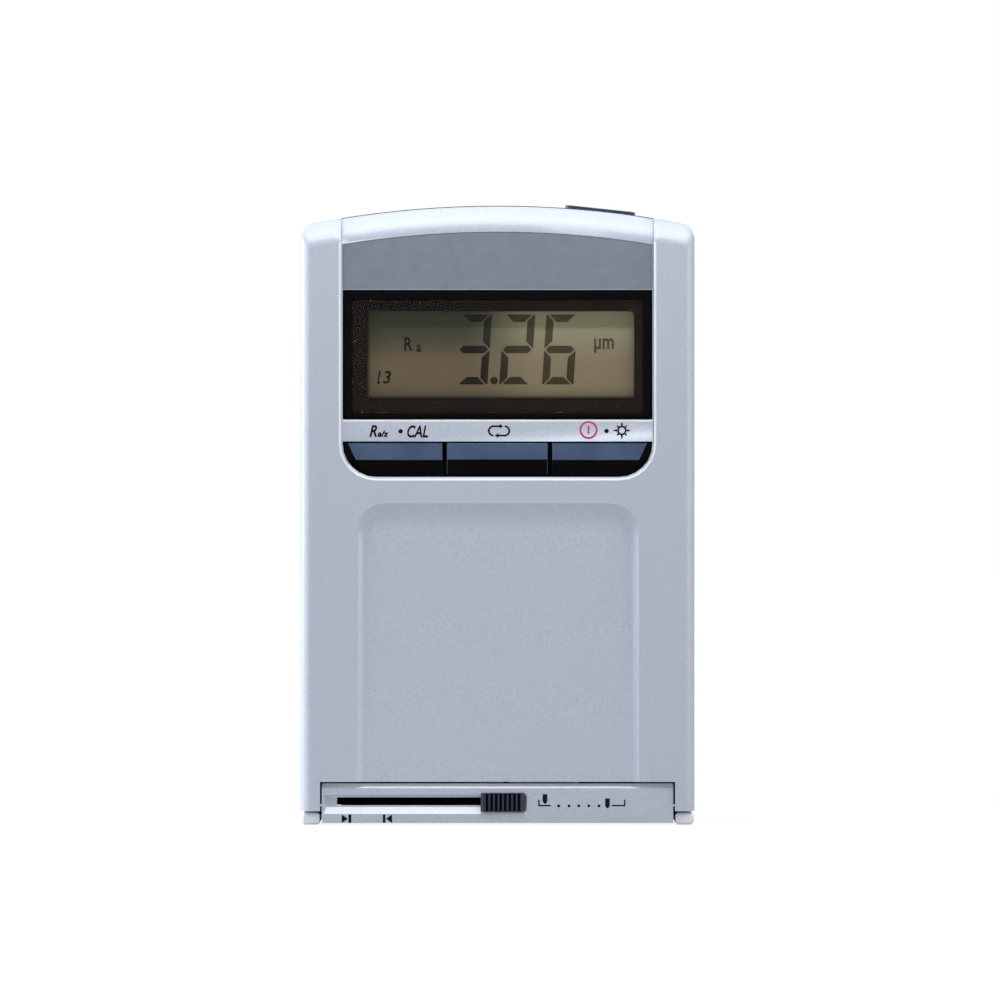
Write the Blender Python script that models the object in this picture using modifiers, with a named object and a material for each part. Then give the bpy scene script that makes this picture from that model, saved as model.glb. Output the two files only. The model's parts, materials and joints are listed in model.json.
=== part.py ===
"""Pocket surface roughness tester, standing upright on its base bar.

Metres, +Z up. The display faces -Y, and the origin is the middle of the footprint on the table.
A front and a rear shell close round the board, the battery and the drive. A motor turns a lead
screw that draws the pickup sideways, and a knob on the base bar lifts the pickup with a wedge.
"""

import math

import bmesh
import bpy
from mathutils import Matrix, Vector

# Clearances
CLEARANCE = 0.0003
FINE_CLEARANCE = 0.0001
RUNNING_CLEARANCE = 0.00005

# Case
BODY_WIDTH = 0.0700
BODY_DEPTH = 0.0240
BODY_HEIGHT = 0.1100
TOP_ARC_RADIUS = 0.1750
CORNER_RADIUS = 0.0030
CREASE_CORNER_RADIUS = 0.0003
FRONT_SHELL_DEPTH = BODY_DEPTH * 13 / 30
SIDE_WALL = 0.0020
FRONT_WALL = BODY_DEPTH / 10
BACK_WALL = BODY_DEPTH * 11 / 120
SIDE_ROLL = 0.0019
TOP_ROLL_HEIGHT = 0.0045
TOP_ROLL_DEPTH = 0.0040
CREASE_ANGLE = math.radians(25)
BACK_ROLL = 0.0025
LIP_INSET = 0.0011
LIP_LENGTH = 0.0011
FOOT_HEIGHT = 0.0021
FOOT_WIDTH = 0.0033
FOOT_SIDE_INSET = 0.0002
FOOT_ROUNDING = 0.0005

# Front panel, from the top edge downwards
SIDE_RAIL = 0.00725
PANEL_WIDTH = BODY_WIDTH - 2 * SIDE_RAIL
PANEL_STEP = 0.0007
PANEL_CORNER_RADIUS = 0.0062
PANEL_RIM = 0.00025
HEADER_HEIGHT = BODY_HEIGHT * 0.1373
DISPLAY_HEIGHT = BODY_HEIGHT * 0.2082
LEGEND_HEIGHT = 0.0040
KEY_ROW_HEIGHT = 0.0063
NAME_PLATE_THICKNESS = 0.0004

# Thumb scoop
SCOOP_DROP = 0.0044
SCOOP_SIDE_MARGIN = 0.00985
SCOOP_WIDTH = BODY_WIDTH - 2 * SCOOP_SIDE_MARGIN
SCOOP_SIDE_SLOPE = 0.0017
SCOOP_TOP_SLOPE = 0.0051
SCOOP_TOP_DEPTH = 0.0014
SCOOP_FOOT_DEPTH = 0.00045
SCOOP_CORNER_RADIUS = 0.0053
SCOOP_FLOOR_RADIUS = 0.0018

# Display
BEZEL_FLANGE = 0.0010
BEZEL_OVERHANG = 0.0011
DISPLAY_SILL = 0.00045
WINDOW_THICKNESS = 0.0010
WINDOW_SIDE_BORDER = 0.0013
WINDOW_TOP_BORDER = 0.0014
WINDOW_FOOT_BORDER = 0.0007
VIEW_SIDE_MARGIN = 0.00395
VIEW_TOP_MARGIN = 0.0037
VIEW_FOOT_MARGIN = 0.0033
VIEW_OFFSET_X = 0.0005
VIEW_WIDTH = PANEL_WIDTH - 2 * VIEW_SIDE_MARGIN
VIEW_HEIGHT = DISPLAY_HEIGHT - VIEW_TOP_MARGIN - VIEW_FOOT_MARGIN
VIEW_CORNER_RADIUS = 0.0008
LCD_THICKNESS = BODY_DEPTH * 0.075
LCD_BORDER = 0.0022
BACKLIGHT_THICKNESS = 0.0012
CONNECTOR_THICKNESS = 0.0012

# Keys
KEY_GAP = 0.0008
KEY_PROUD = 0.0004
KEY_FLAT_HEIGHT = 0.0030
KEY_LEFT_EDGE = PANEL_WIDTH * 0.1694
KEY_RIGHT_EDGE = PANEL_WIDTH * 0.1676
KEY_TRAVEL = 0.0005
KEY_SKIN = 0.0009
KEY_STEM_WIDTH = 0.0044
KEY_STEM_HEIGHT = 0.0026
KEY_SWITCH_SIZE = 0.0045
KEY_SWITCH_HEIGHT = 0.0017
KEY_GUIDE_THICKNESS = 0.0010
KEY_GUIDE_MARGIN = 0.0016

# Start button
BUTTON_LENGTH = 0.0126
BUTTON_DEPTH = BODY_DEPTH / 3
BUTTON_RADIUS = 0.0012
BUTTON_RISE = 0.0009
BUTTON_X = BODY_WIDTH * 0.2629
BUTTON_Y = BODY_DEPTH / 6
BUTTON_FLANGE = 0.0010
BUTTON_TRAVEL = 0.0008
BUTTON_STEM_RADIUS = 0.0012
BUTTON_STEM_LENGTH = 0.0021

# Board
BOARD_SETBACK = BODY_DEPTH * 0.325
BOARD_THICKNESS = 0.0016
BOARD_SIDE_GAP = 0.0005
BOARD_FOOT_Z = 0.0240
BOARD_POST_RADIUS = 0.0015
BOARD_POST_INSET = 0.0020
CHIP_SIZE = 0.0100
CHIP_THICKNESS = 0.0014
BUZZER_RADIUS = 0.0045
BUZZER_HEIGHT = 0.0035
SOCKET_Y = BODY_DEPTH * 0.15
SOCKET_Z = 0.0450
SOCKET_HOLE_RADIUS = 0.0026
SOCKET_BORE_RADIUS = 0.0019
SOCKET_PIN_RADIUS = 0.0006
SOCKET_WIDTH = BODY_DEPTH * 0.35
SOCKET_LENGTH = 0.0080

# Case screws
SCREW_SIDE_INSET = 0.0057
SCREW_X = BODY_WIDTH / 2 - SCREW_SIDE_INSET
SCREW_TOP_DROP = 0.0090
SCREW_FOOT_Z = 0.0300
BOSS_RADIUS = 0.0025
TOWER_RADIUS = 0.0028
SCREW_HEAD_RADIUS = 0.0017
SCREW_HEAD_HEIGHT = 0.0014
SCREW_SHANK_RADIUS = 0.0009
SCREW_LENGTH = 0.0088
SCREW_SEAT_THICKNESS = 0.0033

# Battery
CELL_RADIUS = BODY_DEPTH * 0.2125
CELL_LENGTH = BODY_HEIGHT * 0.4
CELL_NUB_RADIUS = 0.0016
CELL_NUB_HEIGHT = 0.0008
CELL_COUNT = 3
CELL_PITCH = 2 * CELL_RADIUS + 0.0004
CELL_FOOT_Z = 0.0320
BAY_END_ROOM = 0.0015
BAY_WALL = 0.0012
BAY_FLOOR = 0.0009
STRIP_THICKNESS = 0.0003
COVER_MARGIN = 0.0026
COVER_THICKNESS = 0.0011
COVER_RECESS = 0.0013
COVER_CORNER_RADIUS = 0.0020
COVER_RIB_WIDTH = 0.0012
COVER_RIB_HEIGHT = 0.0014
COVER_GRIP_GROOVES = 4
COVER_GRIP_PITCH = 0.0016

# Base rail
BASE_WIDTH = BODY_WIDTH - 2 * (FOOT_WIDTH + FOOT_SIDE_INSET + CLEARANCE)
BASE_SETBACK = 0.0005
BASE_PLATE_LOW_Z = 0.0003
BASE_PLATE_THICKNESS = 0.0018
BASE_TOP_Z = 0.0073
BASE_WALL = 0.0015
BASE_CHAMFER = 0.0008
GROOVE_LEFT_X = 0.0004 - BASE_WIDTH / 2
GROOVE_RIGHT_X = BASE_WIDTH / 12
GROOVE_LOW_Z = 0.0020
GROOVE_HIGH_Z = 0.0053
GROOVE_DEPTH = 0.0007
GROOVE_LOW_SLOPE = 0.0011
GROOVE_HIGH_SLOPE = 0.0003
SLOT_LEFT_X = GROOVE_LEFT_X + 0.0023
SLOT_RIGHT_X = GROOVE_RIGHT_X - 0.0010
SLOT_LOW_Z = 0.0034
SLOT_HIGH_Z = 0.0048
WINDOW_MARGIN = 0.0004
WINDOW_HALF_WIDTH = 0.0019
FRAME_SCREW_XS = (-0.0120, 0.0040)
FRAME_SCREW_Y = BODY_DEPTH * 0.2417
FRAME_SCREW_HEAD_RADIUS = 0.0014
FRAME_SCREW_HEAD_HEIGHT = 0.0008
FRAME_SCREW_SHANK_RADIUS = 0.0007
FRAME_SCREW_LENGTH = 0.0032

# Lift
KNOB_WIDTH = 0.00795
KNOB_RIGHT_X = GROOVE_RIGHT_X - 0.00025
KNOB_LEFT_X = KNOB_RIGHT_X - KNOB_WIDTH
KNOB_TRAVEL = KNOB_LEFT_X - SLOT_LEFT_X - 0.0005
KNOB_LOW_Z = 0.0023
KNOB_HIGH_Z = 0.0056
KNOB_FRONT_Y_INSET = 0.00005
KNOB_GROOVES = 8
KNOB_GROOVE_PITCH = 0.00081
KNOB_GROOVE_DEPTH = 0.0003
KNOB_SKIN = 0.0006
STEM_LEFT_X = KNOB_LEFT_X + 0.0006
STEM_RIGHT_X = KNOB_RIGHT_X - 0.00135
LIFT_HEIGHT = 0.00125
WEDGE_SLOPE = LIFT_HEIGHT / KNOB_TRAVEL
WEDGE_FOOT_Z = 0.0042
FOLLOWER_X = -0.0010
FOLLOWER_WIDTH = 0.0012
LIFT_BAR_LEFT_X = -0.0090
LIFT_BAR_RIGHT_X = 0.0030
LIFT_BAR_SIDE_GAP = 0.0004
LIFT_BAR_THICKNESS = 0.00115
LIFT_POST_XS = (-0.0075, 0.0015)
LIFT_POST_RADIUS = 0.0005
LIFT_POST_TOP_Z = 0.0086

# Drive
SCREW_Z = 0.0150
ROD_Y = BODY_DEPTH * 0.2083
ROD_RADIUS = 0.0010
LEAD_SCREW_RADIUS = 0.0010
JOURNAL_RADIUS = 0.0008
FRAME_LEFT_X = -0.0180
FRAME_FLANGE = 0.0020
FRAME_MIDDLE_X = 0.0073
FRAME_MOTOR_X = 0.0130
FRAME_MOTOR_FLANGE = 0.0015
FRAME_FRONT_Y = -ROD_Y - 2 * ROD_RADIUS
FRAME_BACKBONE = 0.0012
FRAME_FOOT_FRONT_Y = BODY_DEPTH * 0.15
FRAME_FOOT_THICKNESS = 0.0015
FRAME_FLANGE_LOW_Z = 0.0106
FRAME_FLANGE_HIGH_Z = 0.0194
FRAME_TOP_Z = 0.0255
GEAR_MODULE = 0.0004
GEAR_TEETH = 24
PINION_TEETH = 12
GEAR_LEFT_X = 0.0098
GEAR_WIDTH = 0.0025
MOTOR_RADIUS = BODY_DEPTH * 0.2083
MOTOR_END_ROOM = 0.0022
MOTOR_AXIS_Y = BODY_DEPTH * 0.1792
MOTOR_SHAFT_RADIUS = 0.0005
MOTOR_BOSS_RADIUS = 0.0016
CARRIAGE_LEFT_X = -0.0140
CARRIAGE_LENGTH = 0.0120
CARRIAGE_FOOT_Z = 0.0092
CARRIAGE_TOP_Z = 0.0182
CARRIAGE_HALF_WIDTH = ROD_Y + 0.0022
CARRIAGE_TRAVEL = 0.0060
CARRIAGE_CORE_HALF_WIDTH = 0.0034
CARRIAGE_WING_HALF_HEIGHT = 0.0026
CARRIAGE_WING_TAPER = 0.0004
BUSH_RADIUS = 0.0018
NUT_RADIUS = 0.0019
NUT_LENGTH = 0.0060

# Pickup
NOSE_LEFT_X = GROOVE_LEFT_X + 0.0028
PICKUP_LEFT_X = NOSE_LEFT_X + 0.0080
PICKUP_RIGHT_X = -0.0030
PICKUP_HALF_WIDTH = 0.0028
PICKUP_FOOT_Z = 0.0029
PICKUP_TOP_Z = 0.0077
NOSE_HALF_WIDTH = 0.0014
NOSE_FOOT_Z = 0.0010
NOSE_TOP_Z = 0.0050
CHANNEL_HALF_WIDTH = 0.0008
CHANNEL_RIGHT_X = -0.0072
CHANNEL_STEP_X = PICKUP_LEFT_X + 0.0004
CHANNEL_NOSE_TOP_Z = 0.0034
CHANNEL_TOP_Z = 0.0057
POST_X = -0.0080
POST_RADIUS = 0.0010
POST_TOP_Z = 0.0110
POST_HOLE_TOP_Z = 0.0124
SPRING_POCKET_RADIUS = 0.0023
SPRING_POCKET_TOP_Z = 0.0118
SPRING_RADIUS = 0.00155
SPRING_WIRE_RADIUS = 0.00018
SPRING_TURNS = 5
TAB_LEFT_X = -0.0080
TAB_RIGHT_X = -0.0050
TAB_POST_GAP = 0.00025
TAB_THICKNESS = 0.0010
SKID_X = NOSE_LEFT_X + 0.0045
SKID_LENGTH = 0.0022
SKID_LOW_Z = 0.00025
PIVOT_X = -0.0090
PIVOT_Z = 0.0042
PIVOT_PIN_RADIUS = 0.00045
ARM_HUB_RADIUS = 0.0011
ARM_HALF_THICKNESS = 0.0004
ARM_TIP_X = NOSE_LEFT_X + 0.0014
ARM_BEND_X = PICKUP_LEFT_X - 0.0004
ARM_LOW_Z = 0.0017
ARM_HEIGHT = 0.0007
TIP_X = NOSE_LEFT_X + 0.0019
TIP_LOW_Z = 0.00018
TIP_RADIUS = 0.00035

# Steps round the curves
CORNER_STEPS = 5
ARC_STEPS = 18
ROLL_STEPS = 6
ROUND_STEPS = 20
SMALL_ROUND_STEPS = 10

# Planes and heights worked out from the sizes above
FRONT_Y = -BODY_DEPTH / 2
BACK_Y = BODY_DEPTH / 2
PARTING_Y = FRONT_Y + FRONT_SHELL_DEPTH
REAR_SHELL_Y = PARTING_Y + CLEARANCE
LIP_END_Y = PARTING_Y + LIP_LENGTH
CAVITY_FRONT_Y = FRONT_Y + FRONT_WALL
CAVITY_BACK_Y = BACK_Y - BACK_WALL
PANEL_Y = FRONT_Y + PANEL_STEP
RAIL_END_Z = FOOT_HEIGHT + CLEARANCE
ARC_CENTRE_Z = BODY_HEIGHT - TOP_ARC_RADIUS
DISPLAY_TOP_Z = BODY_HEIGHT - HEADER_HEIGHT
DISPLAY_FOOT_Z = DISPLAY_TOP_Z - DISPLAY_HEIGHT
KEYS_TOP_Z = DISPLAY_FOOT_Z - LEGEND_HEIGHT
KEYS_FOOT_Z = KEYS_TOP_Z - KEY_ROW_HEIGHT
PANEL_FOOT_Z = KEYS_FOOT_Z - PANEL_RIM
OPENING_HALF_WIDTH = PANEL_WIDTH / 2 - PANEL_RIM
BOARD_WIDTH = 2 * (SCREW_X - BOSS_RADIUS - BOARD_SIDE_GAP)
BOARD_FRONT_Y = FRONT_Y + BOARD_SETBACK
BOARD_BACK_Y = BOARD_FRONT_Y + BOARD_THICKNESS
BOARD_POST_TOP_Z = DISPLAY_TOP_Z + BEZEL_OVERHANG + BOARD_POST_RADIUS + 2 * CLEARANCE
BOARD_TOP_Z = BOARD_POST_TOP_Z + BOARD_POST_INSET
WINDOW_LEFT_X = NOSE_LEFT_X - WINDOW_MARGIN
FRAME_BACK_Y = CAVITY_BACK_Y - WINDOW_MARGIN
MOTOR_LEFT_X = FRAME_MOTOR_X + FRAME_MOTOR_FLANGE + CLEARANCE
MOTOR_LENGTH = BODY_WIDTH / 2 - SIDE_WALL - MOTOR_END_ROOM - MOTOR_LEFT_X
BASE_HALF_WIDTH = BASE_WIDTH / 2
BASE_FRONT_Y = FRONT_Y + BASE_SETBACK
BASE_INNER_Y = BASE_FRONT_Y + BASE_WALL
BASE_FLOOR_Z = BASE_PLATE_LOW_Z + BASE_PLATE_THICKNESS
ARM_SLOPE = (PIVOT_Z - ARM_HUB_RADIUS - ARM_LOW_Z) / (PIVOT_X - ARM_BEND_X)
WINDOW_RIGHT_X = ARM_BEND_X + (BASE_FLOOR_Z + WINDOW_MARGIN - ARM_LOW_Z) / ARM_SLOPE + CARRIAGE_TRAVEL
SLIDER_FRONT_Y = BASE_INNER_Y + CLEARANCE
LIFT_BAR_BACK_Y = -PICKUP_HALF_WIDTH - LIFT_BAR_SIDE_GAP
SLIDER_THICKNESS = (LIFT_BAR_BACK_Y - SLIDER_FRONT_Y - CLEARANCE) / 2
LIFT_BAR_FRONT_Y = SLIDER_FRONT_Y + SLIDER_THICKNESS + CLEARANCE
LIFT_POST_Y = (LIFT_BAR_FRONT_Y + LIFT_BAR_BACK_Y) / 2
TAB_REACH = -LIFT_POST_Y - LIFT_POST_RADIUS - TAB_POST_GAP - PICKUP_HALF_WIDTH
BUTTON_LEAN = math.asin(BUTTON_X / TOP_ARC_RADIUS)


def clear_scene():
    """Removes every object, so that the file holds only this tester."""
    for obj in list(bpy.data.objects):
        bpy.data.objects.remove(obj, do_unlink=True)


def collection(name):
    """A new collection in the scene."""
    made = bpy.data.collections.new(name)
    bpy.context.scene.collection.children.link(made)
    return made


def finish(name, colour, roughness, metallic=0.0, alpha=1.0):
    """A Principled material of one colour."""
    material = bpy.data.materials.new(name)
    material.use_nodes = True
    shader = material.node_tree.nodes["Principled BSDF"]
    shader.inputs["Base Color"].default_value = (*colour, 1.0)
    shader.inputs["Roughness"].default_value = roughness
    shader.inputs["Metallic"].default_value = metallic
    shader.inputs["Alpha"].default_value = alpha
    material.diffuse_color = (*colour, alpha)
    return material


clear_scene()
PARTS = collection("surface_roughness_tester")
CUTTERS = collection("cutters")

SILVER_PAINT = finish("silver_paint", (0.50, 0.53, 0.60), 0.42, 0.35)
SATIN_PLATE = finish("satin_plate", (0.26, 0.27, 0.31), 0.45, 0.4)
PALE_PLASTIC = finish("pale_plastic", (0.62, 0.62, 0.64), 0.45)
BLACK_PLASTIC = finish("black_plastic", (0.010, 0.009, 0.010), 0.35)
KEY_PLASTIC = finish("key_plastic", (0.030, 0.040, 0.065), 0.45)
CLEAR_PLASTIC = finish("clear_plastic", (0.85, 0.87, 0.85), 0.05, 0.0, 0.2)
LCD_GLASS = finish("lcd_glass", (0.17, 0.16, 0.12), 0.25)
WHITE_PLASTIC = finish("white_plastic", (0.80, 0.80, 0.78), 0.5)
GREY_RUBBER = finish("grey_rubber", (0.12, 0.12, 0.13), 0.8)
BOARD_LAMINATE = finish("board_laminate", (0.02, 0.16, 0.07), 0.5)
STEEL = finish("steel", (0.55, 0.55, 0.56), 0.3, 1.0)
BRASS = finish("brass", (0.70, 0.50, 0.20), 0.3, 1.0)
ALUMINIUM = finish("aluminium", (0.60, 0.61, 0.62), 0.35, 1.0)
CELL_SLEEVE = finish("cell_sleeve", (0.05, 0.22, 0.30), 0.4)
DIAMOND = finish("diamond", (0.80, 0.85, 0.90), 0.05)


def steps(start, end, count):
    """Evenly spaced values from start to end, with both ends in."""
    return [start + (end - start) * i / count for i in range(count + 1)]


def mix(low, high, share):
    """The value that lies the given share of the way from low to high."""
    return low + (high - low) * share


def circle(centre, radius, count=ROUND_STEPS):
    """A round outline."""
    return [
        (centre[0] + radius * math.cos(a), centre[1] + radius * math.sin(a))
        for a in steps(0, math.tau, count)[:-1]
    ]


def rounded_rectangle(low, high, radii, count=CORNER_STEPS):
    """A rectangle with a radius for its lower left, lower right, upper right and upper left corner."""
    corners = (
        (low[0], low[1], 1, 1, math.pi),
        (high[0], low[1], -1, 1, 1.5 * math.pi),
        (high[0], high[1], -1, -1, 0.0),
        (low[0], high[1], 1, -1, 0.5 * math.pi),
    )
    outline = []
    for (u, v, inward_u, inward_v, start), radius in zip(corners, radii):
        if not radius:
            outline.append((u, v))
            continue
        centre = (u + inward_u * radius, v + inward_v * radius)
        for angle in steps(start, start + math.pi / 2, count):
            outline.append((centre[0] + radius * math.cos(angle), centre[1] + radius * math.sin(angle)))
    return outline


def mesh_of(bm):
    """A mesh from a bmesh, with its doubles merged and its faces pointing out."""
    bmesh.ops.remove_doubles(bm, verts=bm.verts, dist=1e-6)
    bmesh.ops.recalc_face_normals(bm, faces=bm.faces)
    mesh = bpy.data.meshes.new("shape")
    bm.to_mesh(mesh)
    bm.free()
    mesh.shade_smooth()
    mesh.set_sharp_from_angle(angle=math.radians(35))
    return mesh


def box(low, high):
    """A block between two corners."""
    bm = bmesh.new()
    bmesh.ops.create_cube(bm, size=1.0)
    size = Vector(high) - Vector(low)
    centre = (Vector(high) + Vector(low)) / 2
    bmesh.ops.transform(bm, matrix=Matrix.LocRotScale(centre, None, size), verts=bm.verts)
    return mesh_of(bm)


def rod(start, end, radius, count=ROUND_STEPS, end_radius=None):
    """A cylinder or cone between two points."""
    bm = bmesh.new()
    along = Vector(end) - Vector(start)
    turn = along.to_track_quat("Z", "Y").to_matrix().to_4x4()
    middle = Matrix.Translation((Vector(start) + Vector(end)) / 2)
    bmesh.ops.create_cone(
        bm,
        cap_ends=True,
        segments=count,
        radius1=radius,
        radius2=radius if end_radius is None else end_radius,
        depth=along.length,
        matrix=middle @ turn,
    )
    return mesh_of(bm)


PLATE_TURNS = {
    "X": Matrix(((0, 0, 1, 0), (1, 0, 0, 0), (0, 1, 0, 0), (0, 0, 0, 1))),
    "Y": Matrix(((1, 0, 0, 0), (0, 0, -1, 0), (0, 1, 0, 0), (0, 0, 0, 1))),
    "Z": Matrix.Identity(4),
}


def plate(outlines, axis, low, high):
    """Closed outlines, a rim and any holes, made as a filled curve and extruded along an axis.

    Across X the outline is in (Y, Z), across Y in (X, Z), and across Z in (X, Y).
    """
    curve = bpy.data.curves.new("outline", "CURVE")
    curve.dimensions = "2D"
    curve.fill_mode = "BOTH"
    curve.extrude = (high - low) / 2
    for outline in outlines:
        spline = curve.splines.new("POLY")
        spline.points.add(len(outline) - 1)
        for point, (u, v) in zip(spline.points, outline):
            point.co = (u, v, 0, 1)
        spline.use_cyclic_u = True
    guide = bpy.data.objects.new("outline", curve)
    flat = bpy.data.meshes.new_from_object(guide)
    bpy.data.objects.remove(guide)
    middle = Vector((0, 0, 0))
    middle["XYZ".index(axis)] = (low + high) / 2
    bm = bmesh.new()
    bm.from_mesh(flat)
    bpy.data.meshes.remove(flat)
    bmesh.ops.transform(bm, matrix=Matrix.Translation(middle) @ PLATE_TURNS[axis], verts=bm.verts)
    return mesh_of(bm)


def loft(rings):
    """A closed skin through rings of equally many points, with both ends capped."""
    bm = bmesh.new()
    loops = [[bm.verts.new(point) for point in ring] for ring in rings]
    for near, far in zip(loops, loops[1:]):
        for i, (a, b) in enumerate(zip(near, far)):
            j = (i + 1) % len(near)
            bm.faces.new((a, near[j], far[j], b))
    bm.faces.new(loops[0])
    bm.faces.new(loops[-1])
    return mesh_of(bm)


def place(name, mesh, material, location, rotation=(0, 0, 0)):
    """A piece of the tester from a mesh in its own frame."""
    mesh.name = name
    mesh.materials.append(material)
    obj = bpy.data.objects.new(name, mesh)
    obj.location = location
    obj.rotation_euler = rotation
    PARTS.objects.link(obj)
    return obj


def piece(name, mesh, material, origin=None):
    """A piece from a mesh in world coordinates, with its origin at a point or at its own middle."""
    if origin is None:
        corners = [vertex.co for vertex in mesh.vertices]
        lows = [min(corner[i] for corner in corners) for i in range(3)]
        highs = [max(corner[i] for corner in corners) for i in range(3)]
        origin = [(low + high) / 2 for low, high in zip(lows, highs)]
    mesh.transform(Matrix.Translation(-Vector(origin)))
    return place(name, mesh, material, origin)


def turned(name, profile, material, start, direction, count=ROUND_STEPS):
    """A lathe-turned piece: a profile of (radius, height) from its top down, spun by a Screw modifier."""
    bm = bmesh.new()
    points = [bm.verts.new((radius, 0, height)) for radius, height in profile]
    for a, b in zip(points, points[1:]):
        bm.edges.new((a, b))
    mesh = bpy.data.meshes.new(name)
    bm.to_mesh(mesh)
    bm.free()
    turn = Vector(direction).to_track_quat("Z", "Y").to_euler()
    obj = place(name, mesh, material, start, turn)
    spin = obj.modifiers.new("spin", "SCREW")
    spin.steps = count
    spin.render_steps = count
    spin.use_merge_vertices = True
    spin.merge_threshold = 1e-6
    spin.use_smooth_shade = True
    return obj


def cutter(mesh, location=(0, 0, 0), rotation=(0, 0, 0)):
    """A helper solid that shapes a piece and is never part of the tester."""
    obj = bpy.data.objects.new("cutter", mesh)
    obj.location = location
    obj.rotation_euler = rotation
    obj.hide_render = True
    obj.display_type = "WIRE"
    CUTTERS.objects.link(obj)
    return obj


def combine(obj, operation, helpers):
    """Boolean modifiers that cut, join or intersect an object with helper solids."""
    for helper in helpers:
        modifier = obj.modifiers.new(operation.lower(), "BOOLEAN")
        modifier.operation = operation
        modifier.solver = "EXACT"
        modifier.object = helper
    return obj


def cut(obj, *helpers):
    """Takes helper solids away from an object."""
    return combine(obj, "DIFFERENCE", helpers)


def join(obj, *helpers):
    """Adds helper solids to an object."""
    return combine(obj, "UNION", helpers)


def round_edges(obj, width, count=2, angle=math.radians(40)):
    """Rounds the sharp edges of an object that has no cuts yet."""
    modifier = obj.modifiers.new("rounding", "BEVEL")
    modifier.width = width
    modifier.segments = count
    modifier.limit_method = "ANGLE"
    modifier.angle_limit = angle
    return obj


def joint_axis(name, location, rotation=(0, 0, 0)):
    """An empty on a joint's axis, which carries the pieces that move with the joint."""
    empty = bpy.data.objects.new(name, None)
    empty.empty_display_size = 0.004
    empty.location = location
    empty.rotation_euler = rotation
    PARTS.objects.link(empty)
    return empty


def carry(carrier, *riders):
    """Parents objects to a carrier without moving them."""
    bpy.context.view_layer.update()
    for rider in riders:
        rider.parent = carrier
        rider.matrix_parent_inverse = carrier.matrix_world.inverted()


def body_outline(side_inset, top_inset, corner_radius, foot_z):
    """Front view of the case, anticlockwise from its lower left corner, set in from the sides and top."""
    side = BODY_WIDTH / 2 - side_inset
    radius = TOP_ARC_RADIUS - top_inset
    corner_x = side - corner_radius
    lean = math.asin(corner_x / (radius - corner_radius))
    corner_z = ARC_CENTRE_Z + (radius - corner_radius) * math.cos(lean)
    right = [
        (corner_x + corner_radius * math.cos(a), corner_z + corner_radius * math.sin(a))
        for a in steps(0, math.pi / 2 - lean, CORNER_STEPS)
    ]
    arc = [
        (radius * math.sin(a), ARC_CENTRE_Z + radius * math.cos(a))
        for a in steps(lean, -lean, ARC_STEPS)[1:-1]
    ]
    left = [(-x, z) for x, z in reversed(right)]
    return [(-side, foot_z), (side, foot_z)] + right + arc + left


def top_shares():
    """How far each point of body_outline belongs to the top edge: 0 on the sides, 1 on the arc."""
    corner = steps(0, 1, CORNER_STEPS)
    return [0, 0] + corner + [1] * (ARC_STEPS - 1) + corner[::-1]


def level_ring(y, side_inset, top_inset, corner_radius, foot_z=RAIL_END_Z):
    """A ring of the case in a plane of constant Y."""
    return [(x, y, z) for x, z in body_outline(side_inset, top_inset, corner_radius, foot_z)]


def front_roll_rings(shift):
    """Rings from the crease on the front face round to the side walls, pushed back by shift."""
    rings = []
    for angle in steps(CREASE_ANGLE, math.pi / 2, ROLL_STEPS):
        out = (math.sin(angle) - math.sin(CREASE_ANGLE)) / (1 - math.sin(CREASE_ANGLE))
        back = (math.cos(CREASE_ANGLE) - math.cos(angle)) / math.cos(CREASE_ANGLE)
        outline = body_outline(
            SIDE_ROLL * (1 - out),
            TOP_ROLL_HEIGHT * (1 - out),
            mix(CREASE_CORNER_RADIUS, CORNER_RADIUS, out),
            RAIL_END_Z,
        )
        depths = [mix(SIDE_ROLL, TOP_ROLL_DEPTH, share) * back for share in top_shares()]
        rings.append([(x, FRONT_Y + shift + depth, z) for (x, z), depth in zip(outline, depths)])
    return rings


def screw_places():
    """The four case screws, as (X, Z)."""
    heights = (BODY_HEIGHT - SCREW_TOP_DROP, SCREW_FOOT_Z)
    return [(x, z) for z in heights for x in (-SCREW_X, SCREW_X)]


def board_post_places():
    """The four posts that the board rests on, as (X, Z)."""
    x = BOARD_WIDTH / 2 - BOARD_POST_INSET
    heights = (BOARD_POST_TOP_Z, BOARD_FOOT_Z + BOARD_POST_INSET)
    return [(side * x, z) for z in heights for side in (-1, 1)]


def panel_cutter():
    """The step of the centre panel: it runs down from the top edge and follows the rolled band."""
    half = PANEL_WIDTH / 2
    radii = (PANEL_CORNER_RADIUS, PANEL_CORNER_RADIUS, 0, 0)
    outline = rounded_rectangle((-half, PANEL_FOOT_Z), (half, BODY_HEIGHT + CORNER_RADIUS), radii, 6)
    tool = cutter(plate([outline], "Y", FRONT_Y - PANEL_STEP, FRONT_Y + TOP_ROLL_DEPTH - PANEL_STEP / 10))
    kept = front_roll_rings(PANEL_STEP) + [level_ring(PARTING_Y, 0, 0, CORNER_RADIUS)]
    return cut(tool, cutter(loft(kept)))


def name_plate_outline(inset):
    """The blank name plate under the rolled band, with its top edge on the crease."""
    half = OPENING_HALF_WIDTH - inset
    foot = DISPLAY_TOP_Z + CLEARANCE + inset
    radius = TOP_ARC_RADIUS - TOP_ROLL_HEIGHT - CLEARANCE - inset
    lean = math.asin(half / radius)
    top = [
        (radius * math.sin(a), ARC_CENTRE_Z + radius * math.cos(a)) for a in steps(lean, -lean, ARC_STEPS)
    ]
    return [(-half, foot), (half, foot)] + top


def display_outline(inset):
    """The display opening, as a rectangle in (X, Z)."""
    half = OPENING_HALF_WIDTH - inset
    return rounded_rectangle((-half, DISPLAY_FOOT_Z + inset), (half, DISPLAY_TOP_Z - inset), (0, 0, 0, 0))


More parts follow.
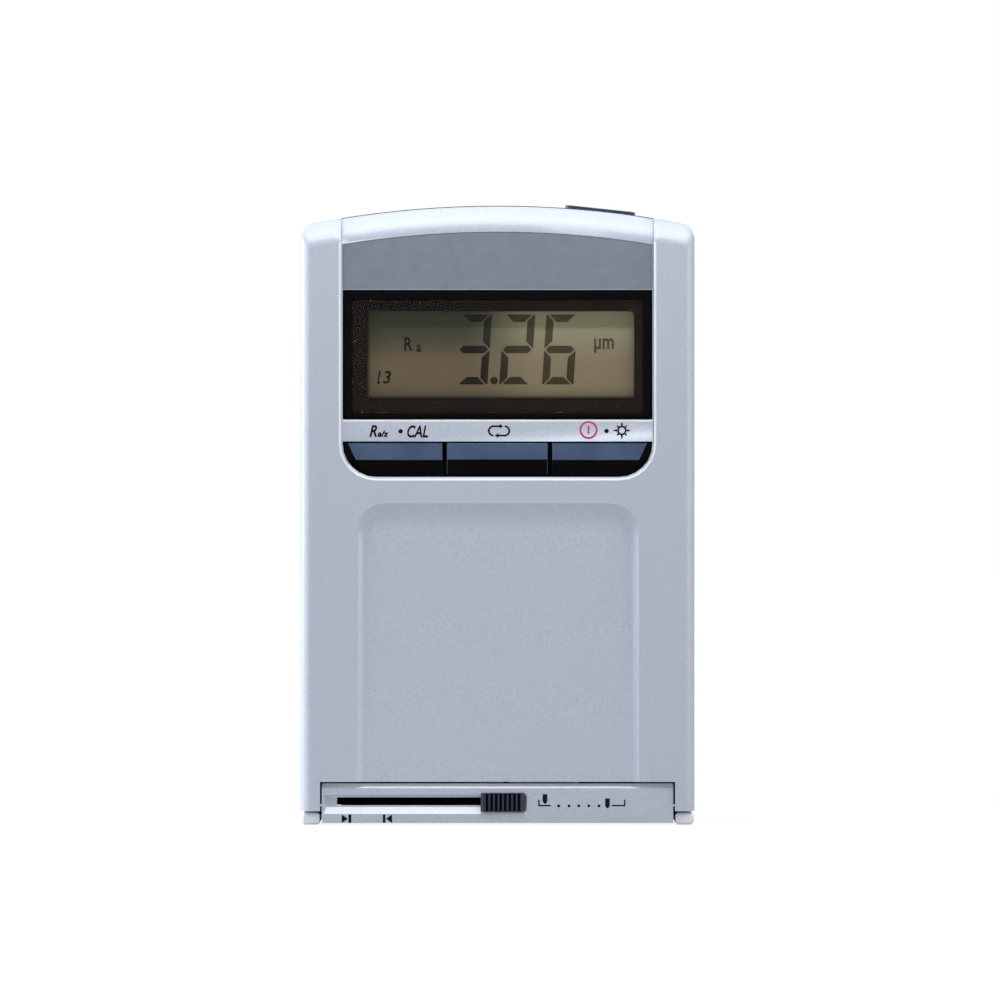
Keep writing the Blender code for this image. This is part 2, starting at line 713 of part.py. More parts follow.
def keys_outline(inset):
    """The key opening, with its two round lower corners."""
    half = OPENING_HALF_WIDTH - inset
    radius = PANEL_CORNER_RADIUS - PANEL_RIM - inset
    low = (-half, KEYS_FOOT_Z + inset)
    high = (half, KEYS_TOP_Z - inset)
    radius = min(radius, high[1] - low[1] - FINE_CLEARANCE)
    return rounded_rectangle(low, high, (radius, radius, 0, 0), 6)


def scoop_cutter():
    """The thumb scoop: an inclined floor with sloped sides, open at the foot."""
    top_z = PANEL_FOOT_Z - SCOOP_DROP
    low_z = BASE_TOP_Z - CLEARANCE
    half = SCOOP_WIDTH / 2
    floor_half = half - SCOOP_SIDE_SLOPE
    floor_top_z = top_z - SCOOP_TOP_SLOPE
    rim_radii = (0, 0, SCOOP_CORNER_RADIUS, SCOOP_CORNER_RADIUS)
    floor_radii = (0, 0, SCOOP_FLOOR_RADIUS, SCOOP_FLOOR_RADIUS)
    rim = rounded_rectangle((-half, low_z), (half, top_z), rim_radii, 6)
    floor = rounded_rectangle((-floor_half, low_z), (floor_half, floor_top_z), floor_radii, 6)
    depths = [
        mix(SCOOP_FOOT_DEPTH, SCOOP_TOP_DEPTH, (z - low_z) / (floor_top_z - low_z)) for _, z in floor
    ]
    rings = []
    for share in (-0.4, 0.12, 0.35, 0.65, 1.0):
        fall = share * (2 - share) if share > 0 else 2 * share
        rings.append(
            [
                (mix(x, floor_x, share), FRONT_Y + fall * depth, mix(z, floor_z, share))
                for (x, z), (floor_x, floor_z), depth in zip(rim, floor, depths)
            ]
        )
    return cutter(loft(rings))


def build_front_shell():
    """The painted front moulding, with its lip, bosses and board posts."""
    skin = front_roll_rings(0) + [
        level_ring(PARTING_Y, 0, 0, CORNER_RADIUS),
        level_ring(PARTING_Y, LIP_INSET, LIP_INSET, CORNER_RADIUS - LIP_INSET, RAIL_END_Z + LIP_LENGTH),
        level_ring(LIP_END_Y, LIP_INSET, LIP_INSET, CORNER_RADIUS - LIP_INSET, RAIL_END_Z + LIP_LENGTH),
    ]
    shell = piece("front_shell", loft(skin), SILVER_PAINT)
    inner_radius = CORNER_RADIUS - SIDE_WALL
    below = -RAIL_END_Z
    hollow = cutter(
        loft(
            [
                level_ring(CAVITY_FRONT_Y, 1.4 * SIDE_WALL, TOP_ROLL_HEIGHT, inner_radius, below),
                level_ring(CAVITY_FRONT_Y + SIDE_WALL, SIDE_WALL, SIDE_WALL, inner_radius, below),
                level_ring(LIP_END_Y + LIP_LENGTH, SIDE_WALL, SIDE_WALL, inner_radius, below),
            ]
        )
    )
    root_y = (FRONT_Y + CAVITY_FRONT_Y) / 2
    for x, z in screw_places():
        cut(hollow, cutter(rod((x, root_y, z), (x, PARTING_Y, z), BOSS_RADIUS)))
    for x, z in board_post_places():
        end_y = BOARD_FRONT_Y - CLEARANCE
        cut(hollow, cutter(rod((x, root_y, z), (x, end_y, z), BOARD_POST_RADIUS, SMALL_ROUND_STEPS)))
    cut(shell, hollow, panel_cutter(), scoop_cutter())
    plate_floor_y = PANEL_Y + NAME_PLATE_THICKNESS + FINE_CLEARANCE
    cut(shell, cutter(plate([name_plate_outline(0)], "Y", FRONT_Y - PANEL_STEP, plate_floor_y)))
    through_y = CAVITY_FRONT_Y + PANEL_STEP
    cut(shell, cutter(plate([display_outline(0)], "Y", FRONT_Y - PANEL_STEP, through_y)))
    cut(shell, cutter(plate([keys_outline(0)], "Y", FRONT_Y - PANEL_STEP, through_y)))
    sill = [(PANEL_Y + y * DISPLAY_SILL, DISPLAY_FOOT_Z + z * DISPLAY_SILL) for y, z in ((-1, -2), (2, 1), (-1, 1))]
    cut(shell, cutter(plate([sill], "X", -OPENING_HALF_WIDTH, OPENING_HALF_WIDTH)))
    notch_half = BASE_HALF_WIDTH + CLEARANCE
    notch_top = BASE_TOP_Z + CLEARANCE
    cut(shell, cutter(box((-notch_half, FRONT_Y - PANEL_STEP, below), (notch_half, LIP_END_Y, notch_top))))
    for x, z in screw_places():
        end_y = PARTING_Y - (SCREW_LENGTH - SCREW_SEAT_THICKNESS) - CLEARANCE
        hole = rod((x, end_y, z), (x, LIP_END_Y, z), SCREW_SHANK_RADIUS + FINE_CLEARANCE, SMALL_ROUND_STEPS)
        cut(shell, cutter(hole))
    return shell


def bay_box(margin):
    """Low and high corner of the battery bay in (X, Z), grown by a margin."""
    half = (CELL_COUNT - 1) / 2 * CELL_PITCH + CELL_RADIUS + 2 * CLEARANCE + margin
    low_z = CELL_FOOT_Z - BAY_END_ROOM + CLEARANCE - margin
    high_z = CELL_FOOT_Z + CELL_LENGTH + BAY_END_ROOM + margin
    return (-half, low_z), (half, high_z)


def cover_outline(inset):
    """The battery cover's place in the back, in (X, Z)."""
    (low_x, low_z), (high_x, high_z) = bay_box(COVER_MARGIN - inset)
    return rounded_rectangle((low_x, low_z), (high_x, high_z), (COVER_CORNER_RADIUS - inset,) * 4)


def button_place():
    """The start button's place on the arched top."""
    return Vector(
        (
            TOP_ARC_RADIUS * math.sin(BUTTON_LEAN),
            BUTTON_Y,
            ARC_CENTRE_Z + TOP_ARC_RADIUS * math.cos(BUTTON_LEAN),
        )
    )


def button_outline(margin):
    """The start button seen from above, in its own leaning frame."""
    half_length = BUTTON_LENGTH / 2 + margin
    half_depth = BUTTON_DEPTH / 2 + margin
    radii = (BUTTON_RADIUS + margin,) * 4
    return rounded_rectangle((-half_length, -half_depth), (half_length, half_depth), radii, 3)


def build_rear_shell():
    """The back moulding, with the battery bay, the screw towers and the side and top holes."""
    inner_radius = CORNER_RADIUS - SIDE_WALL
    rings = [level_ring(REAR_SHELL_Y, 0, 0, CORNER_RADIUS)]
    for angle in steps(0, math.pi / 2, ROLL_STEPS):
        inset = BACK_ROLL * (1 - math.cos(angle))
        y = BACK_Y - BACK_ROLL * (1 - math.sin(angle))
        rings.append(level_ring(y, inset, inset, CORNER_RADIUS - inset))
    shell = piece("rear_shell", loft(rings), SILVER_PAINT)
    rebate = LIP_INSET - CLEARANCE
    below = -RAIL_END_Z
    ahead_y = REAR_SHELL_Y - LIP_LENGTH
    rebate_y = LIP_END_Y + CLEARANCE
    hollow = cutter(
        loft(
            [
                level_ring(ahead_y, rebate, rebate, CORNER_RADIUS - rebate, below - LIP_LENGTH),
                level_ring(rebate_y, rebate, rebate, CORNER_RADIUS - rebate, below - LIP_LENGTH),
                level_ring(rebate_y, SIDE_WALL, SIDE_WALL, inner_radius, below),
                level_ring(CAVITY_BACK_Y - SIDE_WALL, SIDE_WALL, SIDE_WALL, inner_radius, below),
                level_ring(CAVITY_BACK_Y, BACK_ROLL, BACK_ROLL, inner_radius, below),
            ]
        )
    )
    root_y = (CAVITY_BACK_Y + BACK_Y) / 2
    for x, z in screw_places():
        cut(hollow, cutter(rod((x, REAR_SHELL_Y, z), (x, root_y, z), TOWER_RADIUS)))
    (low_x, low_z), (high_x, high_z) = bay_box(BAY_WALL)
    cut(hollow, cutter(box((low_x, REAR_SHELL_Y, low_z), (high_x, root_y, high_z))))
    cut(shell, hollow)
    (low_x, low_z), (high_x, high_z) = bay_box(0)
    floor_y = REAR_SHELL_Y + BAY_FLOOR
    cut(shell, cutter(box((low_x, floor_y, low_z), (high_x, BACK_Y + BACK_WALL, high_z))))
    cut(shell, cutter(plate([cover_outline(0)], "Y", BACK_Y - COVER_RECESS, BACK_Y + BACK_WALL)))
    for x, z in screw_places():
        seat_y = REAR_SHELL_Y + SCREW_SEAT_THICKNESS
        hole_radius = SCREW_SHANK_RADIUS + FINE_CLEARANCE
        hole = rod((x, ahead_y, z), (x, BACK_Y, z), hole_radius, SMALL_ROUND_STEPS)
        sink = rod((x, seat_y, z), (x, BACK_Y + BACK_WALL, z), SCREW_HEAD_RADIUS + CLEARANCE)
        cut(shell, cutter(hole), cutter(sink))
    side_x = -BODY_WIDTH / 2
    far_x = side_x + SIDE_WALL + CLEARANCE / 2
    socket_hole = rod((side_x - SIDE_WALL, SOCKET_Y, SOCKET_Z), (far_x, SOCKET_Y, SOCKET_Z), SOCKET_HOLE_RADIUS)
    cut(shell, cutter(socket_hole))
    button_hole = plate([button_outline(CLEARANCE)], "Z", -1.5 * SIDE_WALL, SIDE_WALL)
    cut(shell, cutter(button_hole, button_place(), (0, BUTTON_LEAN, 0)))
    return shell


def build_battery_cover():
    """The lift-off cover, with two inner ribs and a finger grip."""
    back_y = BACK_Y - RUNNING_CLEARANCE
    front_y = back_y - COVER_THICKNESS
    (_, low_z), (_, high_z) = bay_box(COVER_MARGIN)
    origin = (0, front_y, (low_z + high_z) / 2)
    shape = plate([cover_outline(CLEARANCE)], "Y", front_y, back_y)
    cover = piece("battery_cover", shape, SILVER_PAINT, origin)
    for side in (-0.5, 0.5):
        x = side * CELL_PITCH
        low = (x - COVER_RIB_WIDTH / 2, front_y - COVER_RIB_HEIGHT, CELL_FOOT_Z + CELL_RADIUS)
        high = (x + COVER_RIB_WIDTH / 2, front_y + COVER_THICKNESS / 2, CELL_FOOT_Z + CELL_LENGTH - CELL_RADIUS)
        join(cover, cutter(box(low, high)))
    for i in range(COVER_GRIP_GROOVES):
        z = high_z - COVER_MARGIN - CELL_RADIUS - i * COVER_GRIP_PITCH
        groove = rod((-CELL_RADIUS, back_y, z), (CELL_RADIUS, back_y, z), COVER_GRIP_PITCH / 4, 8)
        cut(cover, cutter(groove))
    axis = joint_axis("cover_release_axis", origin)
    carry(axis, cover)


def build_case_trim():
    """The name plate, the four case screws and the two feet."""
    front_y = PANEL_Y
    back_y = front_y + NAME_PLATE_THICKNESS
    piece("name_plate", plate([name_plate_outline(FINE_CLEARANCE)], "Y", front_y, back_y), SATIN_PLATE)
    seat_y = REAR_SHELL_Y + SCREW_SEAT_THICKNESS + FINE_CLEARANCE
    head_top = SCREW_HEAD_HEIGHT
    profile = [
        (0, head_top),
        (SCREW_HEAD_RADIUS * 0.6, head_top),
        (SCREW_HEAD_RADIUS, head_top / 2),
        (SCREW_HEAD_RADIUS, 0),
        (SCREW_SHANK_RADIUS, 0),
        (SCREW_SHANK_RADIUS, SCREW_SHANK_RADIUS - SCREW_LENGTH),
        (0, -SCREW_LENGTH),
    ]
    for number, (x, z) in enumerate(screw_places(), 1):
        turned(f"case_screw_{number}", profile, STEEL, (x, seat_y, z), (0, 1, 0))
    inner = BASE_HALF_WIDTH + CLEARANCE
    outer = inner + FOOT_WIDTH
    back = BACK_Y - FOOT_ROUNDING
    for name, side in (("foot_left", -1), ("foot_right", 1)):
        low_x, high_x = sorted((side * inner, side * outer))
        foot = piece(name, box((low_x, -back, 0), (high_x, back, FOOT_HEIGHT)), PALE_PLASTIC)
        round_edges(foot, FOOT_ROUNDING)


def build_display():
    """Bezel, window, liquid crystal glass, backlight and connector, stacked towards the board."""
    flange_front = CAVITY_FRONT_Y + CLEARANCE
    flange_back = flange_front + BEZEL_FLANGE
    view_low = (VIEW_OFFSET_X - VIEW_WIDTH / 2, DISPLAY_FOOT_Z + VIEW_FOOT_MARGIN)
    view_high = (VIEW_OFFSET_X + VIEW_WIDTH / 2, view_low[1] + VIEW_HEIGHT)
    view = rounded_rectangle(view_low, view_high, (VIEW_CORNER_RADIUS,) * 4, 3)
    bezel = piece(
        "display_bezel",
        plate([display_outline(CLEARANCE), view], "Y", PANEL_Y, (flange_front + flange_back) / 2),
        BLACK_PLASTIC,
    )
    join(bezel, cutter(plate([display_outline(-BEZEL_OVERHANG), view], "Y", flange_front, flange_back)))
    half = OPENING_HALF_WIDTH - CLEARANCE - WINDOW_SIDE_BORDER
    low = (-half, DISPLAY_FOOT_Z + CLEARANCE + WINDOW_FOOT_BORDER)
    high = (half, DISPLAY_TOP_Z - CLEARANCE - WINDOW_TOP_BORDER)
    window_front = PANEL_Y + FINE_CLEARANCE
    window_back = window_front + WINDOW_THICKNESS
    pocket_back = window_back + FINE_CLEARANCE
    cut(bezel, cutter(plate([rounded_rectangle(low, high, (0, 0, 0, 0))], "Y", FRONT_Y, pocket_back)))
    pane_low = [value + FINE_CLEARANCE for value in low]
    pane_high = [value - FINE_CLEARANCE for value in high]
    pane = rounded_rectangle(pane_low, pane_high, (0, 0, 0, 0))
    piece("display_window", plate([pane], "Y", window_front, window_back), CLEAR_PLASTIC)

    lcd_front = flange_back + CLEARANCE
    lcd_back = lcd_front + LCD_THICKNESS
    lcd_low = (view_low[0] - LCD_BORDER, view_low[1] - LCD_BORDER)
    lcd_high = (view_high[0] + LCD_BORDER, view_high[1] + LCD_BORDER)
    glass = box((lcd_low[0], lcd_front, lcd_low[1]), (lcd_high[0], lcd_back, lcd_high[1]))
    piece("lcd_glass", glass, LCD_GLASS)
    light_front = lcd_back + FINE_CLEARANCE
    light_back = light_front + BACKLIGHT_THICKNESS
    light = box((view_low[0], light_front, lcd_low[1]), (view_high[0], light_back, view_high[1]))
    piece("backlight_panel", light, WHITE_PLASTIC)
    strip_low = (view_low[0], light_front, view_high[1] + CLEARANCE)
    strip_high = (view_high[0], BOARD_FRONT_Y - FINE_CLEARANCE, strip_low[2] + CONNECTOR_THICKNESS)
    piece("lcd_connector", box(strip_low, strip_high), GREY_RUBBER)


def key_spans():
    """Name, left edge and right edge of each key."""
    half = OPENING_HALF_WIDTH - CLEARANCE
    gap = KEY_GAP / 2
    return (
        ("left", -half, -KEY_LEFT_EDGE - gap),
        ("middle", -KEY_LEFT_EDGE + gap, KEY_RIGHT_EDGE - gap),
        ("right", KEY_RIGHT_EDGE + gap, half),
    )


def key_profile():
    """Side view of a key in (Y, Z): flat above, hollowed for the fingertip below."""
    front = PANEL_Y - KEY_PROUD
    back = CAVITY_FRONT_Y
    top = KEYS_TOP_Z - CLEARANCE
    foot = KEYS_FOOT_Z + CLEARANCE
    flat_end = top - KEY_FLAT_HEIGHT
    hollow_y = back - KEY_SKIN
    hollow = [
        (mix(front, hollow_y, math.sin(a)), mix(foot, flat_end, math.cos(a)))
        for a in steps(0, math.radians(90), 6)
    ]
    return [(back, top), (front, top)] + hollow + [(back, foot)]


def build_keys():
    """Three keys in a row, the guide plate behind them and their switches on the board."""
    middle_z = (KEYS_FOOT_Z + KEYS_TOP_Z) / 2
    half_width = KEY_STEM_WIDTH / 2
    half_height = KEY_STEM_HEIGHT / 2
    switch_back = BOARD_FRONT_Y - FINE_CLEARANCE
    switch_front = switch_back - KEY_SWITCH_HEIGHT
    button_front = switch_front - KEY_TRAVEL
    stem_end = button_front - KEY_TRAVEL - FINE_CLEARANCE
    guide_front = CAVITY_FRONT_Y + KEY_TRAVEL + FINE_CLEARANCE
    holes = []
    for number, (name, left, right) in enumerate(key_spans(), 1):
        x = (left + right) / 2
        origin = (x, CAVITY_FRONT_Y, middle_z)
        key = piece(f"key_{name}", plate([key_profile()], "X", left, right), KEY_PLASTIC, origin)
        combine(key, "INTERSECT", [cutter(plate([keys_outline(CLEARANCE)], "Y", FRONT_Y, CAVITY_BACK_Y))])
        low = (x - half_width, CAVITY_FRONT_Y - KEY_PROUD, middle_z - half_height)
        high = (x + half_width, stem_end, middle_z + half_height)
        join(key, cutter(box(low, high)))
        carry(joint_axis(f"key_{name}_axis", origin), key)
        holes.append(
            rounded_rectangle(
                (x - half_width - CLEARANCE, middle_z - half_height - CLEARANCE),
                (x + half_width + CLEARANCE, middle_z + half_height + CLEARANCE),
                (0, 0, 0, 0),
            )
        )
        size = KEY_SWITCH_SIZE / 2
        body = box((x - size, switch_front, middle_z - size), (x + size, switch_back, middle_z + size))
        switch = piece(f"key_switch_{number}", body, BLACK_PLASTIC)
        actuator = rod((x, button_front, middle_z), (x, (switch_front + switch_back) / 2, middle_z), size / 2.5)
        join(switch, cutter(actuator))
    half = OPENING_HALF_WIDTH
    low = (-half, KEYS_FOOT_Z - KEY_GUIDE_MARGIN)
    high = (half, DISPLAY_FOOT_Z - BEZEL_OVERHANG - CLEARANCE)
    outline = rounded_rectangle(low, high, (PANEL_CORNER_RADIUS, PANEL_CORNER_RADIUS, 0, 0))
    guide = plate([outline] + holes, "Y", guide_front, guide_front + KEY_GUIDE_THICKNESS)
    piece("key_guide", guide, BLACK_PLASTIC)


def build_start_button():
    """The start button on the arched top, and the upright switch under it."""
    place_on_arc = button_place()
    turn = (0, BUTTON_LEAN, 0)
    flange_top = -SIDE_WALL - 2 * CLEARANCE
    flange_foot = flange_top - BUTTON_FLANGE
    stem_foot = flange_foot - BUTTON_STEM_LENGTH
    middle = (flange_top + flange_foot) / 2
    cap = plate([button_outline(0)], "Z", middle, BUTTON_RISE)
    button = round_edges(place("start_button", cap, KEY_PLASTIC, place_on_arc, turn), BUTTON_RISE / 2)
    flange = plate([button_outline(BUTTON_FLANGE)], "Z", flange_foot, flange_top)
    stem = rod((0, 0, stem_foot), (0, 0, middle), BUTTON_STEM_RADIUS)
    join(button, cutter(flange, place_on_arc, turn), cutter(stem, place_on_arc, turn))
    carry(joint_axis("start_press_axis", place_on_arc, turn), button)

    normal = Vector((math.sin(BUTTON_LEAN), 0, math.cos(BUTTON_LEAN)))
    contact = place_on_arc + normal * (stem_foot - BUTTON_TRAVEL - FINE_CLEARANCE)
    half = KEY_SWITCH_SIZE / 2
    low = (contact.x - half, BOARD_BACK_Y + FINE_CLEARANCE, contact.z - 2 * KEY_SWITCH_SIZE / 2)
    high = (contact.x + half, BUTTON_Y + half, contact.z - BUTTON_TRAVEL)
    switch = piece("start_switch", box(low, high), BLACK_PLASTIC)
    lean_drop = BUTTON_STEM_RADIUS * math.tan(BUTTON_LEAN)
    top = (contact.x, BUTTON_Y, contact.z - lean_drop)
    join(switch, cutter(rod((contact.x, BUTTON_Y, contact.z - 2 * BUTTON_TRAVEL), top, BUTTON_STEM_RADIUS)))


def build_board():
    """The main board with its chip, buzzer, charging socket and battery connector."""
    half = BOARD_WIDTH / 2
    board = box((-half, BOARD_FRONT_Y, BOARD_FOOT_Z), (half, BOARD_BACK_Y, BOARD_TOP_Z))
    piece("main_board", board, BOARD_LAMINATE)
    back = BOARD_BACK_Y + FINE_CLEARANCE
    (_, _), (bay_x, bay_top) = bay_box(BAY_WALL)
    row_z = (bay_top + BOARD_TOP_Z) / 2
    low = (-half / 2 - CHIP_SIZE / 2, back, row_z - CHIP_SIZE / 2)
    high = (-half / 2 + CHIP_SIZE / 2, back + CHIP_THICKNESS, row_z + CHIP_SIZE / 2)
    chip = piece("processor_chip", box(low, high), BLACK_PLASTIC)
    round_edges(chip, CHIP_THICKNESS / 6, 1)
    buzzer_profile = [
        (0, BUZZER_HEIGHT),
        (BUZZER_RADIUS - CLEARANCE, BUZZER_HEIGHT),
        (BUZZER_RADIUS, BUZZER_HEIGHT - CLEARANCE),
        (BUZZER_RADIUS, 0),
        (0, 0),
    ]
    turned("buzzer", buzzer_profile, BLACK_PLASTIC, (BUZZER_RADIUS, back, row_z), (0, 1, 0))
    plug_z = bay_top - CHIP_THICKNESS
    plug_left = (BOARD_POST_INSET - half) * 0.98
    plug_back = back + 2 * CHIP_THICKNESS - CLEARANCE
    plug = box((plug_left, back, plug_z - CHIP_SIZE / 3), (-bay_x - CLEARANCE, plug_back, plug_z))
    piece("battery_connector", plug, WHITE_PLASTIC)

    face_x = -BODY_WIDTH / 2 + SIDE_WALL + CLEARANCE
    body = box(
        (face_x, back, SOCKET_Z - SOCKET_WIDTH / 2),
        (face_x + SOCKET_LENGTH, SOCKET_Y + SOCKET_WIDTH / 2, SOCKET_Z + SOCKET_WIDTH / 2),
    )
    socket = piece("charging_socket", body, BLACK_PLASTIC)
    bore_end = face_x + SOCKET_LENGTH * 0.8
    bore = cutter(rod((face_x - SIDE_WALL, SOCKET_Y, SOCKET_Z), (bore_end, SOCKET_Y, SOCKET_Z), SOCKET_BORE_RADIUS))
    pin_ends = ((face_x + CLEARANCE, SOCKET_Y, SOCKET_Z), (bore_end + CLEARANCE, SOCKET_Y, SOCKET_Z))
    cut(bore, cutter(rod(*pin_ends, SOCKET_PIN_RADIUS, SMALL_ROUND_STEPS)))
    cut(socket, bore)


def strip_outline(low_z, rise):
    """A contact strip with one sprung bump for each cell, in (X, Z)."""
    upper = []
    for number in range(CELL_COUNT):
        x = (number - (CELL_COUNT - 1) / 2) * CELL_PITCH
        for offset, share in ((-0.35, 0), (-0.12, 1), (0.12, 1), (0.35, 0)):
            upper.append((x + offset * CELL_PITCH, low_z + share * rise))
    return upper + [(x, z + STRIP_THICKNESS) for x, z in reversed(upper)]


def build_battery():
    """Three cells side by side between two contact strips."""
    middle_y = CELL_RADIUS + 2 * CLEARANCE + REAR_SHELL_Y + BAY_FLOOR - CLEARANCE
    shoulder = CELL_LENGTH - CELL_NUB_HEIGHT
    profile = [
        (0, CELL_LENGTH),
        (CELL_NUB_RADIUS, CELL_LENGTH),
        (CELL_NUB_RADIUS, shoulder),
        (CELL_RADIUS - CLEARANCE, shoulder),
        (CELL_RADIUS, shoulder - CLEARANCE),
        (CELL_RADIUS, CLEARANCE),
        (CELL_RADIUS - CLEARANCE, 0),
        (0, 0),
    ]
    for number in range(CELL_COUNT):
        x = (number - (CELL_COUNT - 1) / 2) * CELL_PITCH
        turned(f"battery_cell_{number + 1}", profile, CELL_SLEEVE, (x, middle_y, CELL_FOOT_Z), (0, 0, 1), 20)
    low_y = middle_y - CELL_RADIUS / 2
    high_y = middle_y + CELL_RADIUS / 2
    (_, bay_low), (_, bay_high) = bay_box(0)
    rise = CELL_FOOT_Z - bay_low - STRIP_THICKNESS - 2 * FINE_CLEARANCE
    lower = plate([strip_outline(bay_low + FINE_CLEARANCE, rise)], "Y", low_y, high_y)
    piece("battery_contact_bottom", lower, STEEL)
    top = bay_high - FINE_CLEARANCE - STRIP_THICKNESS
    fall = top - (CELL_FOOT_Z + CELL_LENGTH) - FINE_CLEARANCE
    piece("battery_contact_top", plate([strip_outline(top, -fall)], "Y", low_y, high_y), STEEL)


def groove_cutter():
    """The sloped channel that the knob runs in."""
    floor_y = BASE_FRONT_Y + GROOVE_DEPTH
    rim = ((GROOVE_LEFT_X, GROOVE_LOW_Z), (GROOVE_RIGHT_X, GROOVE_HIGH_Z))
    floor = (
        (GROOVE_LEFT_X + GROOVE_HIGH_SLOPE, GROOVE_LOW_Z + GROOVE_LOW_SLOPE),
        (GROOVE_RIGHT_X - GROOVE_HIGH_SLOPE, GROOVE_HIGH_Z - GROOVE_HIGH_SLOPE),
    )
    rings = []
    for share in (-1.0, 1.0):
        low = [mix(a, b, share) for a, b in zip(rim[0], floor[0])]
        high = [mix(a, b, share) for a, b in zip(rim[1], floor[1])]
        y = mix(BASE_FRONT_Y, floor_y, share)
        rings.append([(x, y, z) for x, z in rounded_rectangle(low, high, (0, 0, 0, 0))])
    return cutter(loft(rings))


def build_base_rail():
    """The bar across the foot: a front wall with the knob slot, on a plate with the stylus window."""
    back_y = BACK_Y - CLEARANCE
    profile = [
        (BASE_FRONT_Y, BASE_PLATE_LOW_Z),
        (back_y, BASE_PLATE_LOW_Z),
        (back_y, BASE_FLOOR_Z),
        (BASE_INNER_Y, BASE_FLOOR_Z),
        (BASE_INNER_Y, BASE_TOP_Z),
        (BASE_FRONT_Y + BASE_CHAMFER, BASE_TOP_Z),
        (BASE_FRONT_Y, BASE_TOP_Z - BASE_CHAMFER),
    ]
    shape = plate([profile], "X", -BASE_HALF_WIDTH, BASE_HALF_WIDTH)
    rail = piece("base_rail", shape, SILVER_PAINT)
    for x in LIFT_POST_XS:
        foot = (x, LIFT_POST_Y, (BASE_PLATE_LOW_Z + BASE_FLOOR_Z) / 2)
        top = (x, LIFT_POST_Y, LIFT_POST_TOP_Z)
        join(rail, cutter(rod(foot, top, LIFT_POST_RADIUS, SMALL_ROUND_STEPS)))
    slot = box((SLOT_LEFT_X, FRONT_Y, SLOT_LOW_Z), (SLOT_RIGHT_X, BASE_INNER_Y + CLEARANCE, SLOT_HIGH_Z))
    window = box(
        (WINDOW_LEFT_X, -WINDOW_HALF_WIDTH, -BASE_FLOOR_Z),
        (WINDOW_RIGHT_X, WINDOW_HALF_WIDTH, 2 * BASE_FLOOR_Z),
    )
    cut(rail, groove_cutter(), cutter(slot), cutter(window))
    sink_z = BASE_PLATE_LOW_Z + FRAME_SCREW_HEAD_HEIGHT + 2 * FINE_CLEARANCE
    for x in FRAME_SCREW_XS:
        foot = (x, FRAME_SCREW_Y, -BASE_FLOOR_Z)
        sink = rod(foot, (x, FRAME_SCREW_Y, sink_z), FRAME_SCREW_HEAD_RADIUS + 2 * FINE_CLEARANCE)
        top = (x, FRAME_SCREW_Y, BASE_FLOOR_Z + CLEARANCE)
        hole = rod(foot, top, FRAME_SCREW_SHANK_RADIUS + FINE_CLEARANCE, SMALL_ROUND_STEPS)
        cut(rail, cutter(hole), cutter(sink))
    profile = [
        (0, FRAME_SCREW_LENGTH),
        (FRAME_SCREW_SHANK_RADIUS, FRAME_SCREW_LENGTH),
        (FRAME_SCREW_SHANK_RADIUS, 0),
        (FRAME_SCREW_HEAD_RADIUS, 0),
        (FRAME_SCREW_HEAD_RADIUS, -FRAME_SCREW_HEAD_HEIGHT),
        (0, -FRAME_SCREW_HEAD_HEIGHT),
    ]
    for number, x in enumerate(FRAME_SCREW_XS, 1):
        seat = (x, FRAME_SCREW_Y, sink_z - FINE_CLEARANCE)
        turned(f"frame_screw_{number}", profile, STEEL, seat, (0, 0, 1), SMALL_ROUND_STEPS)


def wedge_height(x):
    """Height of the slider's wedge at a place along the bar, with the knob at rest on the right."""
    return WEDGE_FOOT_Z + WEDGE_SLOPE * (x - FOLLOWER_X)


def knob_plan():
    """The knob from above in (X, Y): a rounded block with a row of grip grooves on its face."""
    front = FRONT_Y + KNOB_FRONT_Y_INSET
    back = BASE_FRONT_Y + GROOVE_DEPTH
    corner = KNOB_GROOVE_PITCH / 2
    middle = (KNOB_LEFT_X + KNOB_RIGHT_X) / 2
    points = [(KNOB_RIGHT_X, back), (KNOB_LEFT_X, back), (KNOB_LEFT_X, front + corner)]
    points += [(KNOB_LEFT_X + corner, front)]
    for i in range(KNOB_GROOVES):
        x = middle + (i - (KNOB_GROOVES - 1) / 2) * KNOB_GROOVE_PITCH
        points += [
            (x - KNOB_GROOVE_PITCH * 0.30, front),
            (x - KNOB_GROOVE_PITCH * 0.12, front + KNOB_GROOVE_DEPTH),
            (x + KNOB_GROOVE_PITCH * 0.12, front + KNOB_GROOVE_DEPTH),
            (x + KNOB_GROOVE_PITCH * 0.30, front),
        ]
    return points + [(KNOB_RIGHT_X - corner, front), (KNOB_RIGHT_X, front + corner)]


def knob_section():
    """The knob from the side in (Y, Z): its back narrows to run inside the channel."""
    face_y = BASE_FRONT_Y - FINE_CLEARANCE
    back_y = BASE_FRONT_Y + GROOVE_DEPTH - CLEARANCE
    front_y = FRONT_Y - GROOVE_DEPTH
    return [
        (front_y, KNOB_LOW_Z),
        (face_y, KNOB_LOW_Z),
        (back_y, GROOVE_LOW_Z + GROOVE_LOW_SLOPE),
        (back_y, GROOVE_HIGH_Z - GROOVE_HIGH_SLOPE - FINE_CLEARANCE),
        (face_y, GROOVE_HIGH_Z - CLEARANCE),
        (face_y, KNOB_HIGH_Z),
        (front_y, KNOB_HIGH_Z),
    ]


